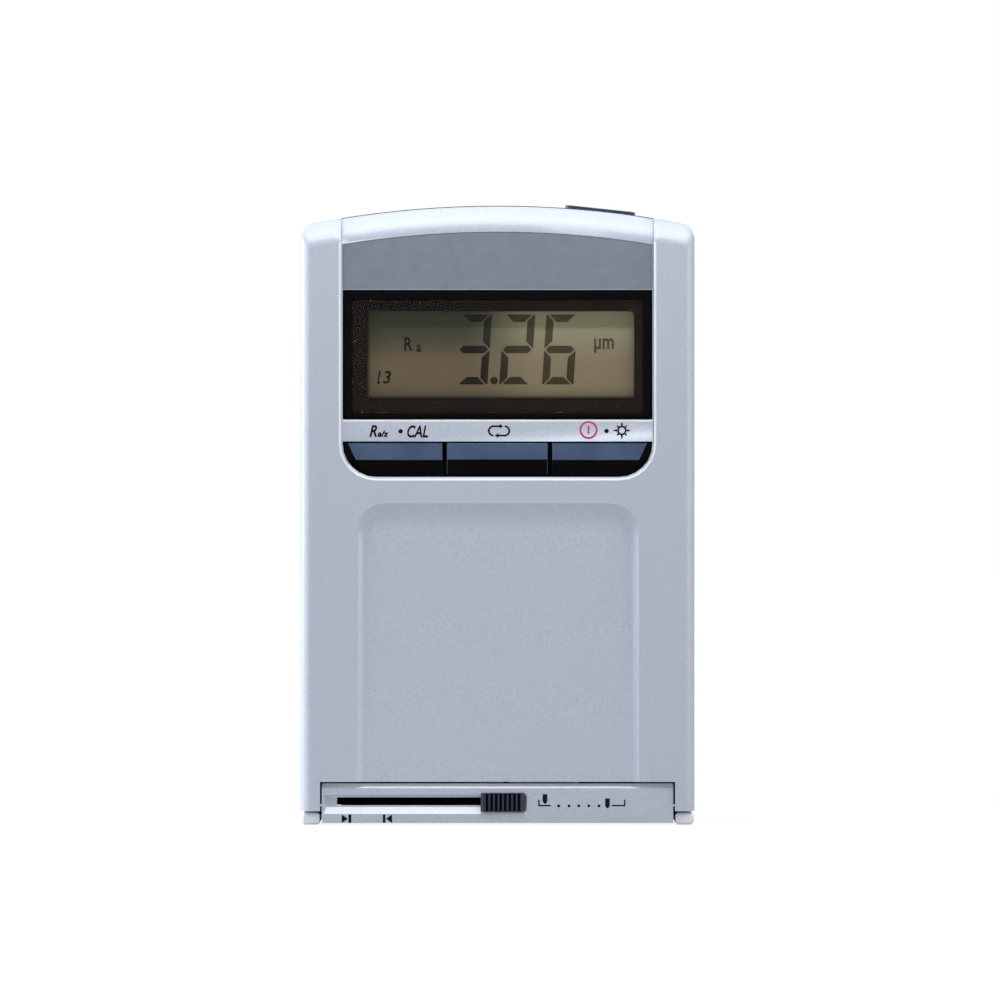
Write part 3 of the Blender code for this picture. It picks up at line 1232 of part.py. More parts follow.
def build_lift():
    """The knob, the wedge slider behind the bar and the lift bar that the wedge raises."""
    stem_low_z = SLOT_LOW_Z + FINE_CLEARANCE
    stem_high_z = SLOT_HIGH_Z - FINE_CLEARANCE
    pocket_y = FRONT_Y + KNOB_FRONT_Y_INSET + KNOB_SKIN
    stem_end_y = pocket_y + FINE_CLEARANCE
    slider_back = SLIDER_FRONT_Y + SLIDER_THICKNESS
    origin = ((KNOB_LEFT_X + KNOB_RIGHT_X) / 2, BASE_INNER_Y, (SLOT_LOW_Z + SLOT_HIGH_Z) / 2)
    knob = piece("lift_knob", plate([knob_plan()], "Z", KNOB_LOW_Z, KNOB_HIGH_Z), KEY_PLASTIC, origin)
    combine(knob, "INTERSECT", [cutter(plate([knob_section()], "X", KNOB_LEFT_X - CLEARANCE, KNOB_RIGHT_X + CLEARANCE))])
    pocket_low = (STEM_LEFT_X - FINE_CLEARANCE, pocket_y, stem_low_z - FINE_CLEARANCE)
    pocket_high = (STEM_RIGHT_X + FINE_CLEARANCE, BASE_INNER_Y, stem_high_z + FINE_CLEARANCE)
    cut(knob, cutter(box(pocket_low, pocket_high)))

    left = KNOB_LEFT_X
    right = FOLLOWER_X + KNOB_TRAVEL + FOLLOWER_WIDTH
    foot_z = BASE_FLOOR_Z + CLEARANCE
    wedge = [(left, foot_z), (right, foot_z), (right, wedge_height(right)), (left, wedge_height(left))]
    slider = piece("lift_slider", plate([wedge], "Y", SLIDER_FRONT_Y, slider_back), BLACK_PLASTIC, origin)
    stem_low = (STEM_LEFT_X, stem_end_y, stem_low_z)
    stem_top_z = min(stem_high_z, wedge_height(STEM_LEFT_X) - FINE_CLEARANCE)
    stem_high = (STEM_RIGHT_X, SLIDER_FRONT_Y + CLEARANCE, stem_top_z)
    join(slider, cutter(box(stem_low, stem_high)))
    carry(joint_axis("lift_slide_axis", origin), knob, slider)

    arm_left = FOLLOWER_X - FOLLOWER_WIDTH / 2
    arm_right = FOLLOWER_X + FOLLOWER_WIDTH / 2
    bar_front = LIFT_BAR_FRONT_Y
    plan = [
        (LIFT_BAR_LEFT_X, LIFT_BAR_BACK_Y),
        (LIFT_BAR_LEFT_X, bar_front),
        (arm_left, bar_front),
        (arm_left, SLIDER_FRONT_Y + CLEARANCE),
        (arm_right, SLIDER_FRONT_Y + CLEARANCE),
        (arm_right, bar_front),
        (LIFT_BAR_RIGHT_X, bar_front),
        (LIFT_BAR_RIGHT_X, LIFT_BAR_BACK_Y),
    ]
    hole = LIFT_POST_RADIUS + 2 * FINE_CLEARANCE
    holes = [circle((x, LIFT_POST_Y), hole, SMALL_ROUND_STEPS) for x in LIFT_POST_XS]
    low_z = wedge_height(arm_right) + FINE_CLEARANCE
    origin = (FOLLOWER_X, LIFT_POST_Y, low_z)
    bar = plate([plan] + holes, "Z", low_z, low_z + LIFT_BAR_THICKNESS)
    carry(joint_axis("lift_rise_axis", origin), piece("lift_bar", bar, STEEL, origin))


def motor_axis():
    """Y and Z of the motor's shaft, one centre distance from the lead screw."""
    distance = GEAR_MODULE * (GEAR_TEETH + PINION_TEETH) / 2
    rise = math.sqrt(distance**2 - MOTOR_AXIS_Y**2)
    return MOTOR_AXIS_Y, SCREW_Z + rise


def gear_outline(centre, teeth, turn):
    """A spur gear's outline in (Y, Z), with straight-flanked teeth and a tip and root land each."""
    pitch_radius = GEAR_MODULE * teeth / 2
    tip = pitch_radius + 0.9 * GEAR_MODULE
    root = pitch_radius - 1.15 * GEAR_MODULE
    pitch_angle = math.tau / teeth
    points = []
    for tooth in range(teeth):
        middle = turn + tooth * pitch_angle
        for radius, share in ((root, -0.36), (tip, -0.11), (tip, 0.11), (root, 0.36)):
            angle = middle + share * pitch_angle
            points.append((centre[0] + radius * math.cos(angle), centre[1] + radius * math.sin(angle)))
    return points


def build_drive():
    """The drive frame with its rods, lead screw, gears and motor."""
    middle_right = FRAME_MIDDLE_X + FRAME_FLANGE
    motor_right = FRAME_MOTOR_X + FRAME_MOTOR_FLANGE
    inner_y = FRAME_BACK_Y - FRAME_BACKBONE
    motor_y, motor_z = motor_axis()
    motor_front_y = motor_y - MOTOR_RADIUS
    plan = [
        (FRAME_LEFT_X, FRAME_BACK_Y),
        (FRAME_LEFT_X, FRAME_FRONT_Y),
        (FRAME_LEFT_X + FRAME_FLANGE, FRAME_FRONT_Y),
        (FRAME_LEFT_X + FRAME_FLANGE, inner_y),
        (FRAME_MIDDLE_X, inner_y),
        (FRAME_MIDDLE_X, FRAME_FRONT_Y),
        (middle_right, FRAME_FRONT_Y),
        (middle_right, inner_y),
        (FRAME_MOTOR_X, inner_y),
        (FRAME_MOTOR_X, motor_front_y),
        (motor_right, motor_front_y),
        (motor_right, FRAME_BACK_Y),
    ]
    foot_z = BASE_FLOOR_Z + CLEARANCE
    frame = piece("drive_frame", plate([plan], "Z", foot_z, FRAME_TOP_Z), ALUMINIUM)
    front = FRAME_FRONT_Y - CLEARANCE
    low_cut = box((FRAME_LEFT_X - CLEARANCE, front, 0), (motor_right + CLEARANCE, FRAME_FOOT_FRONT_Y, FRAME_FLANGE_LOW_Z))
    high_left = (FRAME_LEFT_X - CLEARANCE, front, FRAME_FLANGE_HIGH_Z)
    high_cut = box(high_left, ((middle_right + FRAME_MOTOR_X) / 2, inner_y, FRAME_TOP_Z + CLEARANCE))
    sole = box(
        (FRAME_LEFT_X, FRAME_FOOT_FRONT_Y, foot_z),
        (motor_right, (inner_y + FRAME_BACK_Y) / 2, foot_z + FRAME_FOOT_THICKNESS),
    )
    cut(frame, cutter(low_cut), cutter(high_cut))
    join(frame, cutter(sole))
    for x in FRAME_SCREW_XS:
        hole = rod(
            (x, FRAME_SCREW_Y, foot_z - CLEARANCE),
            (x, FRAME_SCREW_Y, foot_z + FRAME_FOOT_THICKNESS + CLEARANCE),
            FRAME_SCREW_SHANK_RADIUS + FINE_CLEARANCE,
            SMALL_ROUND_STEPS,
        )
        cut(frame, cutter(hole))
    bearing_ends = (FRAME_LEFT_X - CLEARANCE, middle_right + CLEARANCE)
    for y, radius in ((-ROD_Y, ROD_RADIUS), (ROD_Y, ROD_RADIUS), (0, JOURNAL_RADIUS)):
        ends = [(x, y, SCREW_Z) for x in bearing_ends]
        cut(frame, cutter(rod(*ends, radius + FINE_CLEARANCE)))
    boss_ends = [(x, motor_y, motor_z) for x in (FRAME_MOTOR_X - CLEARANCE, motor_right + CLEARANCE)]
    cut(frame, cutter(rod(*boss_ends, MOTOR_BOSS_RADIUS + CLEARANCE)))

    rod_left = FRAME_LEFT_X + CLEARANCE
    rod_length = middle_right - CLEARANCE - rod_left
    for name, y in (("guide_rod_front", -ROD_Y), ("guide_rod_rear", ROD_Y)):
        profile = [
            (0, rod_length),
            (ROD_RADIUS - FINE_CLEARANCE, rod_length),
            (ROD_RADIUS, rod_length - FINE_CLEARANCE),
            (ROD_RADIUS, FINE_CLEARANCE),
            (ROD_RADIUS - FINE_CLEARANCE, 0),
            (0, 0),
        ]
        turned(name, profile, STEEL, (rod_left, y, SCREW_Z), (1, 0, 0))

    gear_right = GEAR_LEFT_X + GEAR_WIDTH
    shoulder_left = FRAME_LEFT_X + FRAME_FLANGE + CLEARANCE - rod_left
    shoulder_right = FRAME_MIDDLE_X - CLEARANCE - rod_left
    screw_length = gear_right + CLEARANCE - rod_left
    profile = [
        (0, screw_length),
        (JOURNAL_RADIUS, screw_length),
        (JOURNAL_RADIUS, shoulder_right),
        (LEAD_SCREW_RADIUS, shoulder_right),
        (LEAD_SCREW_RADIUS, shoulder_left),
        (JOURNAL_RADIUS, shoulder_left),
        (JOURNAL_RADIUS, 0),
        (0, 0),
    ]
    screw = turned("lead_screw", profile, STEEL, (rod_left, 0, SCREW_Z), (1, 0, 0))
    screw_axis = (GEAR_LEFT_X, 0, SCREW_Z)
    bore = circle((0, SCREW_Z), JOURNAL_RADIUS + RUNNING_CLEARANCE)
    toward_motor = math.atan2(motor_z - SCREW_Z, motor_y)
    wheel = plate([gear_outline((0, SCREW_Z), GEAR_TEETH, toward_motor), bore], "X", GEAR_LEFT_X, gear_right)
    gear = piece("screw_gear", wheel, BRASS, screw_axis)
    carry(joint_axis("screw_spin_axis", screw_axis), screw, gear)

    half_tooth = math.pi / PINION_TEETH
    outline = gear_outline((motor_y, motor_z), PINION_TEETH, toward_motor + math.pi + half_tooth)
    pinion_axis = (GEAR_LEFT_X, motor_y, motor_z)
    pinion = piece("motor_pinion", plate([outline], "X", GEAR_LEFT_X, gear_right), BRASS, pinion_axis)
    motor_left = MOTOR_LEFT_X
    shaft_end = motor_left + 2 * MOTOR_SHAFT_RADIUS
    shaft_start = (gear_right - CLEARANCE, motor_y, motor_z)
    shaft = rod(shaft_start, (shaft_end, motor_y, motor_z), MOTOR_SHAFT_RADIUS, SMALL_ROUND_STEPS)
    join(pinion, cutter(shaft))
    carry(joint_axis("pinion_spin_axis", pinion_axis), pinion)

    edge = MOTOR_RADIUS / 10
    boss = FRAME_MOTOR_FLANGE
    profile = [
        (0, boss + MOTOR_LENGTH),
        (MOTOR_RADIUS - edge, boss + MOTOR_LENGTH),
        (MOTOR_RADIUS, boss + MOTOR_LENGTH - edge),
        (MOTOR_RADIUS, boss + edge),
        (MOTOR_RADIUS - edge, boss),
        (MOTOR_BOSS_RADIUS, boss),
        (MOTOR_BOSS_RADIUS, 0),
        (0, 0),
    ]
    motor_start = (motor_left - boss, motor_y, motor_z)
    motor = turned("drive_motor", profile, STEEL, motor_start, (1, 0, 0), 20)
    bore_ends = [(x, motor_y, motor_z) for x in (motor_left - 2 * boss, shaft_end + CLEARANCE)]
    cut(motor, cutter(rod(*bore_ends, MOTOR_SHAFT_RADIUS + FINE_CLEARANCE, SMALL_ROUND_STEPS)))


def build_carriage():
    """The carriage with its bushes and nut on the rods and the lead screw."""
    core = CARRIAGE_CORE_HALF_WIDTH
    wing = CARRIAGE_HALF_WIDTH
    low = SCREW_Z - CARRIAGE_WING_HALF_HEIGHT
    high = SCREW_Z + CARRIAGE_WING_HALF_HEIGHT
    section = [
        (-core, CARRIAGE_FOOT_Z),
        (core, CARRIAGE_FOOT_Z),
        (core, low),
        (wing, low + CARRIAGE_WING_TAPER),
        (wing, high - CARRIAGE_WING_TAPER),
        (core, high),
        (core, CARRIAGE_TOP_Z),
        (-core, CARRIAGE_TOP_Z),
        (-core, high),
        (-wing, high - CARRIAGE_WING_TAPER),
        (-wing, low + CARRIAGE_WING_TAPER),
        (-core, low),
    ]
    bores = [circle((side * ROD_Y, SCREW_Z), BUSH_RADIUS + FINE_CLEARANCE) for side in (-1, 1)]
    bores.append(circle((0, SCREW_Z), NUT_RADIUS + FINE_CLEARANCE))
    left = CARRIAGE_LEFT_X
    right = left + CARRIAGE_LENGTH
    origin = ((left + right) / 2, 0, SCREW_Z)
    carriage = piece("carriage", plate([section] + bores, "X", left, right), BLACK_PLASTIC, origin)
    foot = (POST_X, 0, CARRIAGE_FOOT_Z - CLEARANCE)
    pocket = rod(foot, (POST_X, 0, SPRING_POCKET_TOP_Z), SPRING_POCKET_RADIUS)
    hole = rod(foot, (POST_X, 0, POST_HOLE_TOP_Z), POST_RADIUS + CLEARANCE)
    cut(carriage, cutter(pocket), cutter(hole))
    bushes = []
    for name, y in (("guide_bush_front", -ROD_Y), ("guide_bush_rear", ROD_Y)):
        rings = [circle((y, SCREW_Z), radius) for radius in (BUSH_RADIUS, ROD_RADIUS + RUNNING_CLEARANCE)]
        bushes.append(piece(name, plate(rings, "X", left, right), BRASS))
    nut_rings = [circle((0, SCREW_Z), radius) for radius in (NUT_RADIUS, LEAD_SCREW_RADIUS + RUNNING_CLEARANCE)]
    nut_left = (left + right - NUT_LENGTH) / 2
    nut = piece("lead_nut", plate(nut_rings, "X", nut_left, nut_left + NUT_LENGTH), BRASS)
    carry(joint_axis("carriage_travel_axis", origin), carriage, nut, *bushes)
    return carriage


def build_pickup_spring(carriage):
    """The coil that presses the pickup down from its pocket in the carriage."""
    low = PICKUP_TOP_Z + CLEARANCE
    high = SPRING_POCKET_TOP_Z - CLEARANCE
    curve = bpy.data.curves.new("pickup_spring", "CURVE")
    curve.dimensions = "3D"
    curve.bevel_depth = SPRING_WIRE_RADIUS
    curve.bevel_resolution = 1
    curve.use_fill_caps = True
    points = SPRING_TURNS * SMALL_ROUND_STEPS
    spline = curve.splines.new("POLY")
    spline.points.add(points)
    for i, point in enumerate(spline.points):
        angle = math.tau * i / SMALL_ROUND_STEPS
        point.co = (SPRING_RADIUS * math.cos(angle), SPRING_RADIUS * math.sin(angle), (high - low) * i / points, 1)
    curve.materials.append(STEEL)
    spring = bpy.data.objects.new("pickup_spring", curve)
    spring.location = (POST_X, 0, low)
    PARTS.objects.link(spring)
    carry(carriage.parent, spring)


def arm_outline():
    """The stylus arm in (X, Z): a low straight nose that rises to a round hub."""
    top = ARM_LOW_Z + ARM_HEIGHT
    hub = [
        (PIVOT_X + ARM_HUB_RADIUS * math.cos(a), PIVOT_Z + ARM_HUB_RADIUS * math.sin(a))
        for a in steps(math.radians(-70), math.radians(120), 10)
    ]
    return [(ARM_TIP_X, top), (ARM_TIP_X, ARM_LOW_Z), (ARM_BEND_X, ARM_LOW_Z)] + hub + [(ARM_BEND_X, top)]


def build_pickup(carriage):
    """The pickup body on its post, with the skid, the stylus arm and the pivot pin."""
    origin = (POST_X, 0, PICKUP_TOP_Z)
    half = PICKUP_HALF_WIDTH
    block = box((PICKUP_LEFT_X, -half, PICKUP_FOOT_Z), (PICKUP_RIGHT_X, half, PICKUP_TOP_Z))
    body = round_edges(piece("pickup_body", block, ALUMINIUM, origin), FINE_CLEARANCE, 1)
    lap = PICKUP_LEFT_X + PICKUP_HALF_WIDTH
    nose = [
        (NOSE_LEFT_X, NOSE_FOOT_Z),
        (PICKUP_LEFT_X - CLEARANCE, NOSE_FOOT_Z),
        (PICKUP_LEFT_X, PICKUP_FOOT_Z + CLEARANCE),
        (lap, PICKUP_FOOT_Z + CLEARANCE),
        (lap, PICKUP_TOP_Z - CLEARANCE),
        (PICKUP_LEFT_X, PICKUP_TOP_Z - CLEARANCE),
        (NOSE_LEFT_X + NOSE_HALF_WIDTH, NOSE_TOP_Z),
        (NOSE_LEFT_X, NOSE_TOP_Z - NOSE_HALF_WIDTH),
    ]
    bar_top = wedge_height(FOLLOWER_X + FOLLOWER_WIDTH / 2) + FINE_CLEARANCE + LIFT_BAR_THICKNESS
    tab_low_z = bar_top + FINE_CLEARANCE
    tab = box((TAB_LEFT_X, -half - TAB_REACH, tab_low_z), (TAB_RIGHT_X, 0, tab_low_z + TAB_THICKNESS))
    post = rod((POST_X, 0, PICKUP_TOP_Z - CLEARANCE), (POST_X, 0, POST_TOP_Z), POST_RADIUS)
    join(body, cutter(plate([nose], "Y", -NOSE_HALF_WIDTH, NOSE_HALF_WIDTH)), cutter(tab), cutter(post))
    channel = [
        (NOSE_LEFT_X - CLEARANCE, -NOSE_FOOT_Z),
        (CHANNEL_RIGHT_X, -NOSE_FOOT_Z),
        (CHANNEL_RIGHT_X, CHANNEL_TOP_Z),
        (CHANNEL_STEP_X, CHANNEL_TOP_Z),
        (CHANNEL_STEP_X, CHANNEL_NOSE_TOP_Z),
        (NOSE_LEFT_X - CLEARANCE, CHANNEL_NOSE_TOP_Z),
    ]
    cut(body, cutter(plate([channel], "Y", -CHANNEL_HALF_WIDTH, CHANNEL_HALF_WIDTH)))
    pin_hole = [(PIVOT_X, y, PIVOT_Z) for y in (-half - CLEARANCE, half + CLEARANCE)]
    cut(body, cutter(rod(*pin_hole, PIVOT_PIN_RADIUS + RUNNING_CLEARANCE, SMALL_ROUND_STEPS)))

    skid_top = NOSE_FOOT_Z - FINE_CLEARANCE
    low = SKID_X - SKID_LENGTH / 2
    high = SKID_X + SKID_LENGTH / 2
    curve_x = SKID_LENGTH / 2
    shoe = [(high, skid_top), (low, skid_top)]
    shoe += [
        (SKID_X - curve_x * math.cos(a), mix(skid_top - CLEARANCE, SKID_LOW_Z, math.sin(a)))
        for a in steps(0, math.pi, 8)
    ]
    skid = piece("skid", plate([shoe], "Y", -NOSE_HALF_WIDTH, NOSE_HALF_WIDTH), STEEL)
    pin_ends = [(PIVOT_X, y, PIVOT_Z) for y in (-half, half)]
    pin = piece("pivot_pin", rod(*pin_ends, PIVOT_PIN_RADIUS, SMALL_ROUND_STEPS), STEEL)
    pickup_axis = joint_axis("pickup_lift_axis", origin)
    carry(pickup_axis, body, skid, pin)

    pivot = (PIVOT_X, 0, PIVOT_Z)
    bore = circle((PIVOT_X, PIVOT_Z), PIVOT_PIN_RADIUS + RUNNING_CLEARANCE, SMALL_ROUND_STEPS)
    arm_shape = plate([arm_outline(), bore], "Y", -ARM_HALF_THICKNESS, ARM_HALF_THICKNESS)
    arm = piece("stylus_arm", arm_shape, ALUMINIUM, pivot)
    tip_top = ARM_LOW_Z - FINE_CLEARANCE - TIP_LOW_Z
    profile = [(0, tip_top), (TIP_RADIUS, tip_top), (TIP_RADIUS, tip_top / 2), (0, 0)]
    tip = turned("stylus_tip", profile, DIAMOND, (TIP_X, 0, TIP_LOW_Z), (0, 0, 1), SMALL_ROUND_STEPS)
    stylus_axis = joint_axis("stylus_pivot_axis", pivot)
    carry(stylus_axis, arm, tip)
    carry(pickup_axis, stylus_axis)
    carry(carriage.parent, pickup_axis)


build_front_shell()
build_rear_shell()
build_battery_cover()
build_case_trim()
build_display()
build_keys()
build_start_button()
build_board()
build_battery()
build_base_rail()
build_lift()
build_drive()
build_pickup_spring(build_carriage())
build_pickup(bpy.data.objects["carriage"])
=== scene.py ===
"""Looks of a pocket surface roughness tester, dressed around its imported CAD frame.

The tester stands upright on its base bar: a silver lacquered case with a display, three keys, a start
button and a sliding knob. Every CAD node first gets the finish of its material slot, and then each
sub-assembly, a class that holds its sizes, builds the pieces that stand for nodes or are added to them.
Lengths are in metres, or in millimetres where the name says mm, in the CAD's own frame: +X right, +Y back,
+Z up, display towards -Y. Turns are in degrees.
"""

import enum
import json
import logging
import math
from collections.abc import Callable
from dataclasses import dataclass, field

import bmesh
import bpy
from mathutils import Matrix, Vector
from mathutils.bvhtree import BVHTree

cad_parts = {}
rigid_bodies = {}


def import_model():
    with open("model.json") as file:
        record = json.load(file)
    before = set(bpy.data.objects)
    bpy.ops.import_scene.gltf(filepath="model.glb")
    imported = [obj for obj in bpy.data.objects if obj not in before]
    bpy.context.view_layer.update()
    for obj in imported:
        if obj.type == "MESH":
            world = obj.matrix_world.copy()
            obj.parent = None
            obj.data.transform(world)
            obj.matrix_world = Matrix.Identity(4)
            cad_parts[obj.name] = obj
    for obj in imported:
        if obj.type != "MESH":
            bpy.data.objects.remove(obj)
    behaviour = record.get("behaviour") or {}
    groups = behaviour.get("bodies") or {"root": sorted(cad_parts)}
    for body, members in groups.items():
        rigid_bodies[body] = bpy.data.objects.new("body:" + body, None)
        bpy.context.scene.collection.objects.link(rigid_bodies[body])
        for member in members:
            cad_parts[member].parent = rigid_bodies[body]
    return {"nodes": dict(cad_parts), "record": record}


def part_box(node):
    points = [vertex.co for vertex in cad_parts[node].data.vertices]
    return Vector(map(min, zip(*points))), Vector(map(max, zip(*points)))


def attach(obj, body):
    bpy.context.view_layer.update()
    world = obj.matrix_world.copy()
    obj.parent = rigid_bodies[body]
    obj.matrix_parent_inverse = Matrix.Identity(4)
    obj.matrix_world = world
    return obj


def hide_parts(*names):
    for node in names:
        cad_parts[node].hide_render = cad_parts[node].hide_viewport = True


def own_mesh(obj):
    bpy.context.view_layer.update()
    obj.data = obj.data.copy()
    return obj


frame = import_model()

log = logging.getLogger("tester_looks")

Tree = bpy.types.NodeTree
Node = bpy.types.Node
Socket = bpy.types.NodeSocket
Object = bpy.types.Object
BMesh = bmesh.types.BMesh
Face = bmesh.types.BMFace
Edge = bmesh.types.BMEdge
Triple = tuple[float, float, float]
Pair = tuple[float, float]
Box = tuple[Vector, Vector]

MM = 0.001
MERGE = 2e-6
FLAT_TURN = 0.2
SMOOTH_TURN = 32.0
ROUGHNESS_DRIFT = 0.08
SUM = {"operation": "ADD", "use_clamp": True}
WHITE = "#FFFFFF"
BODIES: dict[str, str] = {
    node: body for body, nodes in frame["record"]["behaviour"]["bodies"].items() for node in nodes
}
SLOTS: dict[str, str] = {part["node"]: part["material_slot"] for part in frame["record"]["subparts"]}


def linear(colour: str) -> tuple[float, float, float, float]:
    """Turns an sRGB hex colour to the linear colour that a socket takes.

    Args:
        colour: six hex digits after a #.

    Returns:
        Linear red, green, blue, and an alpha of 1.
    """
    shares = [int(colour[i : i + 2], 16) / 255 for i in (1, 3, 5)]
    red, green, blue = (s / 12.92 if s <= 0.04045 else ((s + 0.055) / 1.055) ** 2.4 for s in shares)
    return (red, green, blue, 1.0)


def per(size_mm: float) -> float:
    """Returns the texture scale at which one cell of a pattern measures size_mm."""
    return 1 / (size_mm * MM)


def add_node(tree: Tree, kind: str, settings: dict, inputs: dict) -> Node:
    """Adds one node with its settings and its inputs.

    Args:
        tree: the node tree that gets it.
        kind: the node's type without "ShaderNode".
        settings: values of the node's own properties.
        inputs: for each socket name, a value, a socket, or a node whose first live output is linked.

    Returns:
        The new node.
    """
    node = tree.nodes.new("ShaderNode" + kind)
    for name, value in settings.items():
        setattr(node, name, value)
    for name, value in inputs.items():
        socket = next(s for s in node.inputs if s.enabled and name in (s.name, s.identifier))
        if isinstance(value, Node):
            value = next(s for s in value.outputs if s.enabled)
        if isinstance(value, Socket):
            tree.links.new(value, socket)
        else:
            socket.default_value = value
    return node


@dataclass(frozen=True)
class Finish:
    """A surface as its maker would name it: what it is made of, and how that surface was made."""

    name: str
    colour: str
    second: str
    roughness: float
    metallic: float = 0.0
    specular: float = 0.5
    depth_mm: float = 0.004

    def material(self) -> bpy.types.Material:
        """Returns the finish's material, which is made the first time that it is asked for."""
        known = bpy.data.materials.get(self.name)
        if known:
            return known
        made = bpy.data.materials.new(self.name)
        made.use_nodes = True
        tree = made.node_tree
        shader = tree.nodes["Principled BSDF"]
        shader.inputs["Base Color"].default_value = linear(self.colour)
        shader.inputs["Roughness"].default_value = self.roughness
        shader.inputs["Metallic"].default_value = self.metallic
        shader.inputs["Specular IOR Level"].default_value = self.specular
        where = add_node(tree, "TexCoord", {}, {}).outputs["Object"]
        self.pattern(tree, shader, where)
        return made

    def pattern(self, tree: Tree, shader: Node, where: Socket) -> None:
        """Adds what the eye sees in the surface beyond one colour.

        Args:
            tree: the material's node tree.
            shader: its Principled shader.
            where: the Object coordinates.
        """
        raise NotImplementedError

    def mottle(self, tree: Tree, shader: Node, spots: Node, low: float = 0.3, high: float = 0.7) -> None:
        """Lets the colour drift between the finish's two colours, and its roughness a little with it.

        Args:
            tree: the material's node tree.
            shader: its Principled shader.
            spots: the node whose first output says how far to drift.
            low: the pattern's value at which the first colour is pure.
            high: the value at which the second colour is.
        """
        share = add_node(tree, "MapRange", {}, {"Value": spots, "From Min": low, "From Max": high})
        colours = {"Factor": share, "A": linear(self.colour), "B": linear(self.second)}
        tint = add_node(tree, "Mix", {"data_type": "RGBA"}, colours)
        self.join(tree, tint, shader.inputs["Base Color"])
        least, most = (self.roughness * (1 + way * ROUGHNESS_DRIFT) for way in (-1, 1))
        spread = {"Value": share, "To Min": least, "To Max": min(1.0, most)}
        rough = add_node(tree, "MapRange", {}, spread)
        self.join(tree, rough, shader.inputs["Roughness"])

    def join(self, tree: Tree, node: Node, socket: Socket) -> None:
        """Links a node's first live output to a socket."""
        tree.links.new(next(s for s in node.outputs if s.enabled), socket)

    def relief(self, tree: Tree, shader: Node, height: Node) -> None:
        """Raises a pattern out of the surface, by the finish's depth.

        Args:
            tree: the material's node tree.
            shader: its Principled shader.
            height: the node whose first output is the height, from 0 to 1.
        """
        bump = add_node(tree, "Bump", {}, {"Height": height, "Distance": self.depth_mm * MM, "Strength": 1.0})
        tree.links.new(bump.outputs["Normal"], shader.inputs["Normal"])


@dataclass(frozen=True)
class SilverLacquer(Finish):
    """Moulded ABS sprayed with silver lacquer: a soft metallic sheen with fine flake in it."""

    depth_mm: float = 0.012
    flake_mm: float = 0.3
    peel_mm: float = 1.4

    def pattern(self, tree: Tree, shader: Node, where: Socket) -> None:
        """Adds a faint orange peel and flake, which is really 0.03 mm and drawn ten times coarser to show."""
        flake = {"Vector": where, "Scale": per(self.flake_mm), "Detail": 2.0}
        grain = add_node(tree, "TexNoise", {}, flake)
        self.mottle(tree, shader, grain)
        peel = add_node(tree, "TexNoise", {}, {"Vector": where, "Scale": per(self.peel_mm), "Detail": 1.0})
        halves = [add_node(tree, "MapRange", {}, {"Value": part, "To Max": 0.5}) for part in (peel, grain)]
        height = add_node(tree, "Math", SUM, {"Value": halves[0], "Value_001": halves[1]})
        self.relief(tree, shader, height)


@dataclass(frozen=True)
class MouldedPlastic(Finish):
    """Injection-moulded plastic: its colour drifts where it flowed, under its mould's fine texture."""

    depth_mm: float = 0.006
    drift_mm: float = 6.0
    drift_detail: float = 3.0
    drift_span: Pair = (0.35, 0.65)
    grain_mm: float = 0.22
    grain_detail: float = 1.0

    def pattern(self, tree: Tree, shader: Node, where: Socket) -> None:
        """Adds the slow drift of colour, and the fine grain that stands out of the surface."""
        drift = {"Vector": where, "Scale": per(self.drift_mm), "Detail": self.drift_detail}
        self.mottle(tree, shader, add_node(tree, "TexNoise", {}, drift), *self.drift_span)
        grain = {"Vector": where, "Scale": per(self.grain_mm), "Detail": self.grain_detail}
        self.relief(tree, shader, add_node(tree, "TexNoise", {}, grain))


@dataclass(frozen=True)
class SatinPlate(MouldedPlastic):
    """Aluminium foil plate, etched satin and lacquered grey: matt, with faint clouds and a fine tooth.

    It is patterned like a moulding at other sizes. The etch's real tooth is 0.05 mm, drawn coarser to show.
    """

    depth_mm: float = 0.004
    drift_mm: float = 2.2
    drift_detail: float = 4.0
    drift_span: Pair = (0.3, 0.7)
    grain_mm: float = 0.25
    grain_detail: float = 2.0


@dataclass(frozen=True)
class WorkedMetal(Finish):
    """Bare metal with the marks of the tool that finished it, stretched along one direction."""

    depth_mm: float = 0.002
    stroke_mm: Triple = (2.0, 0.12, 0.12)

    def pattern(self, tree: Tree, shader: Node, where: Socket) -> None:
        """Adds the tool marks as strokes in colour, roughness and relief."""
        scale = [per(size) for size in self.stroke_mm]
        stretched = add_node(tree, "Mapping", {}, {"Vector": where, "Scale": scale})
        strokes = add_node(tree, "TexNoise", {}, {"Vector": stretched, "Scale": 1.0, "Detail": 2.0})
        self.mottle(tree, shader, strokes)
        self.relief(tree, shader, strokes)


@dataclass(frozen=True)
class Striped(Finish):
    """A surface whose two colours meet in bands, such as a board's tracks or a printed sleeve."""

    band_mm: float = 1.2
    turn: Triple = (0.0, 0.0, 0.0)
    node_rate: float = 20.0
    meet: Pair = (0.45, 0.55)

    def pattern(self, tree: Tree, shader: Node, where: Socket) -> None:
        """Adds the bands, broken up by noise so that they look drawn and not ruled."""
        turned = add_node(tree, "Mapping", {}, {"Vector": where, "Rotation": self.turn})
        scale = per(self.band_mm) / self.node_rate
        bands = {"Vector": turned, "Scale": scale, "Distortion": 2.0, "Detail": 2.0}
        wave = add_node(tree, "TexWave", {"bands_direction": "X"}, bands)
        self.mottle(tree, shader, wave, *self.meet)
        self.relief(tree, shader, wave)


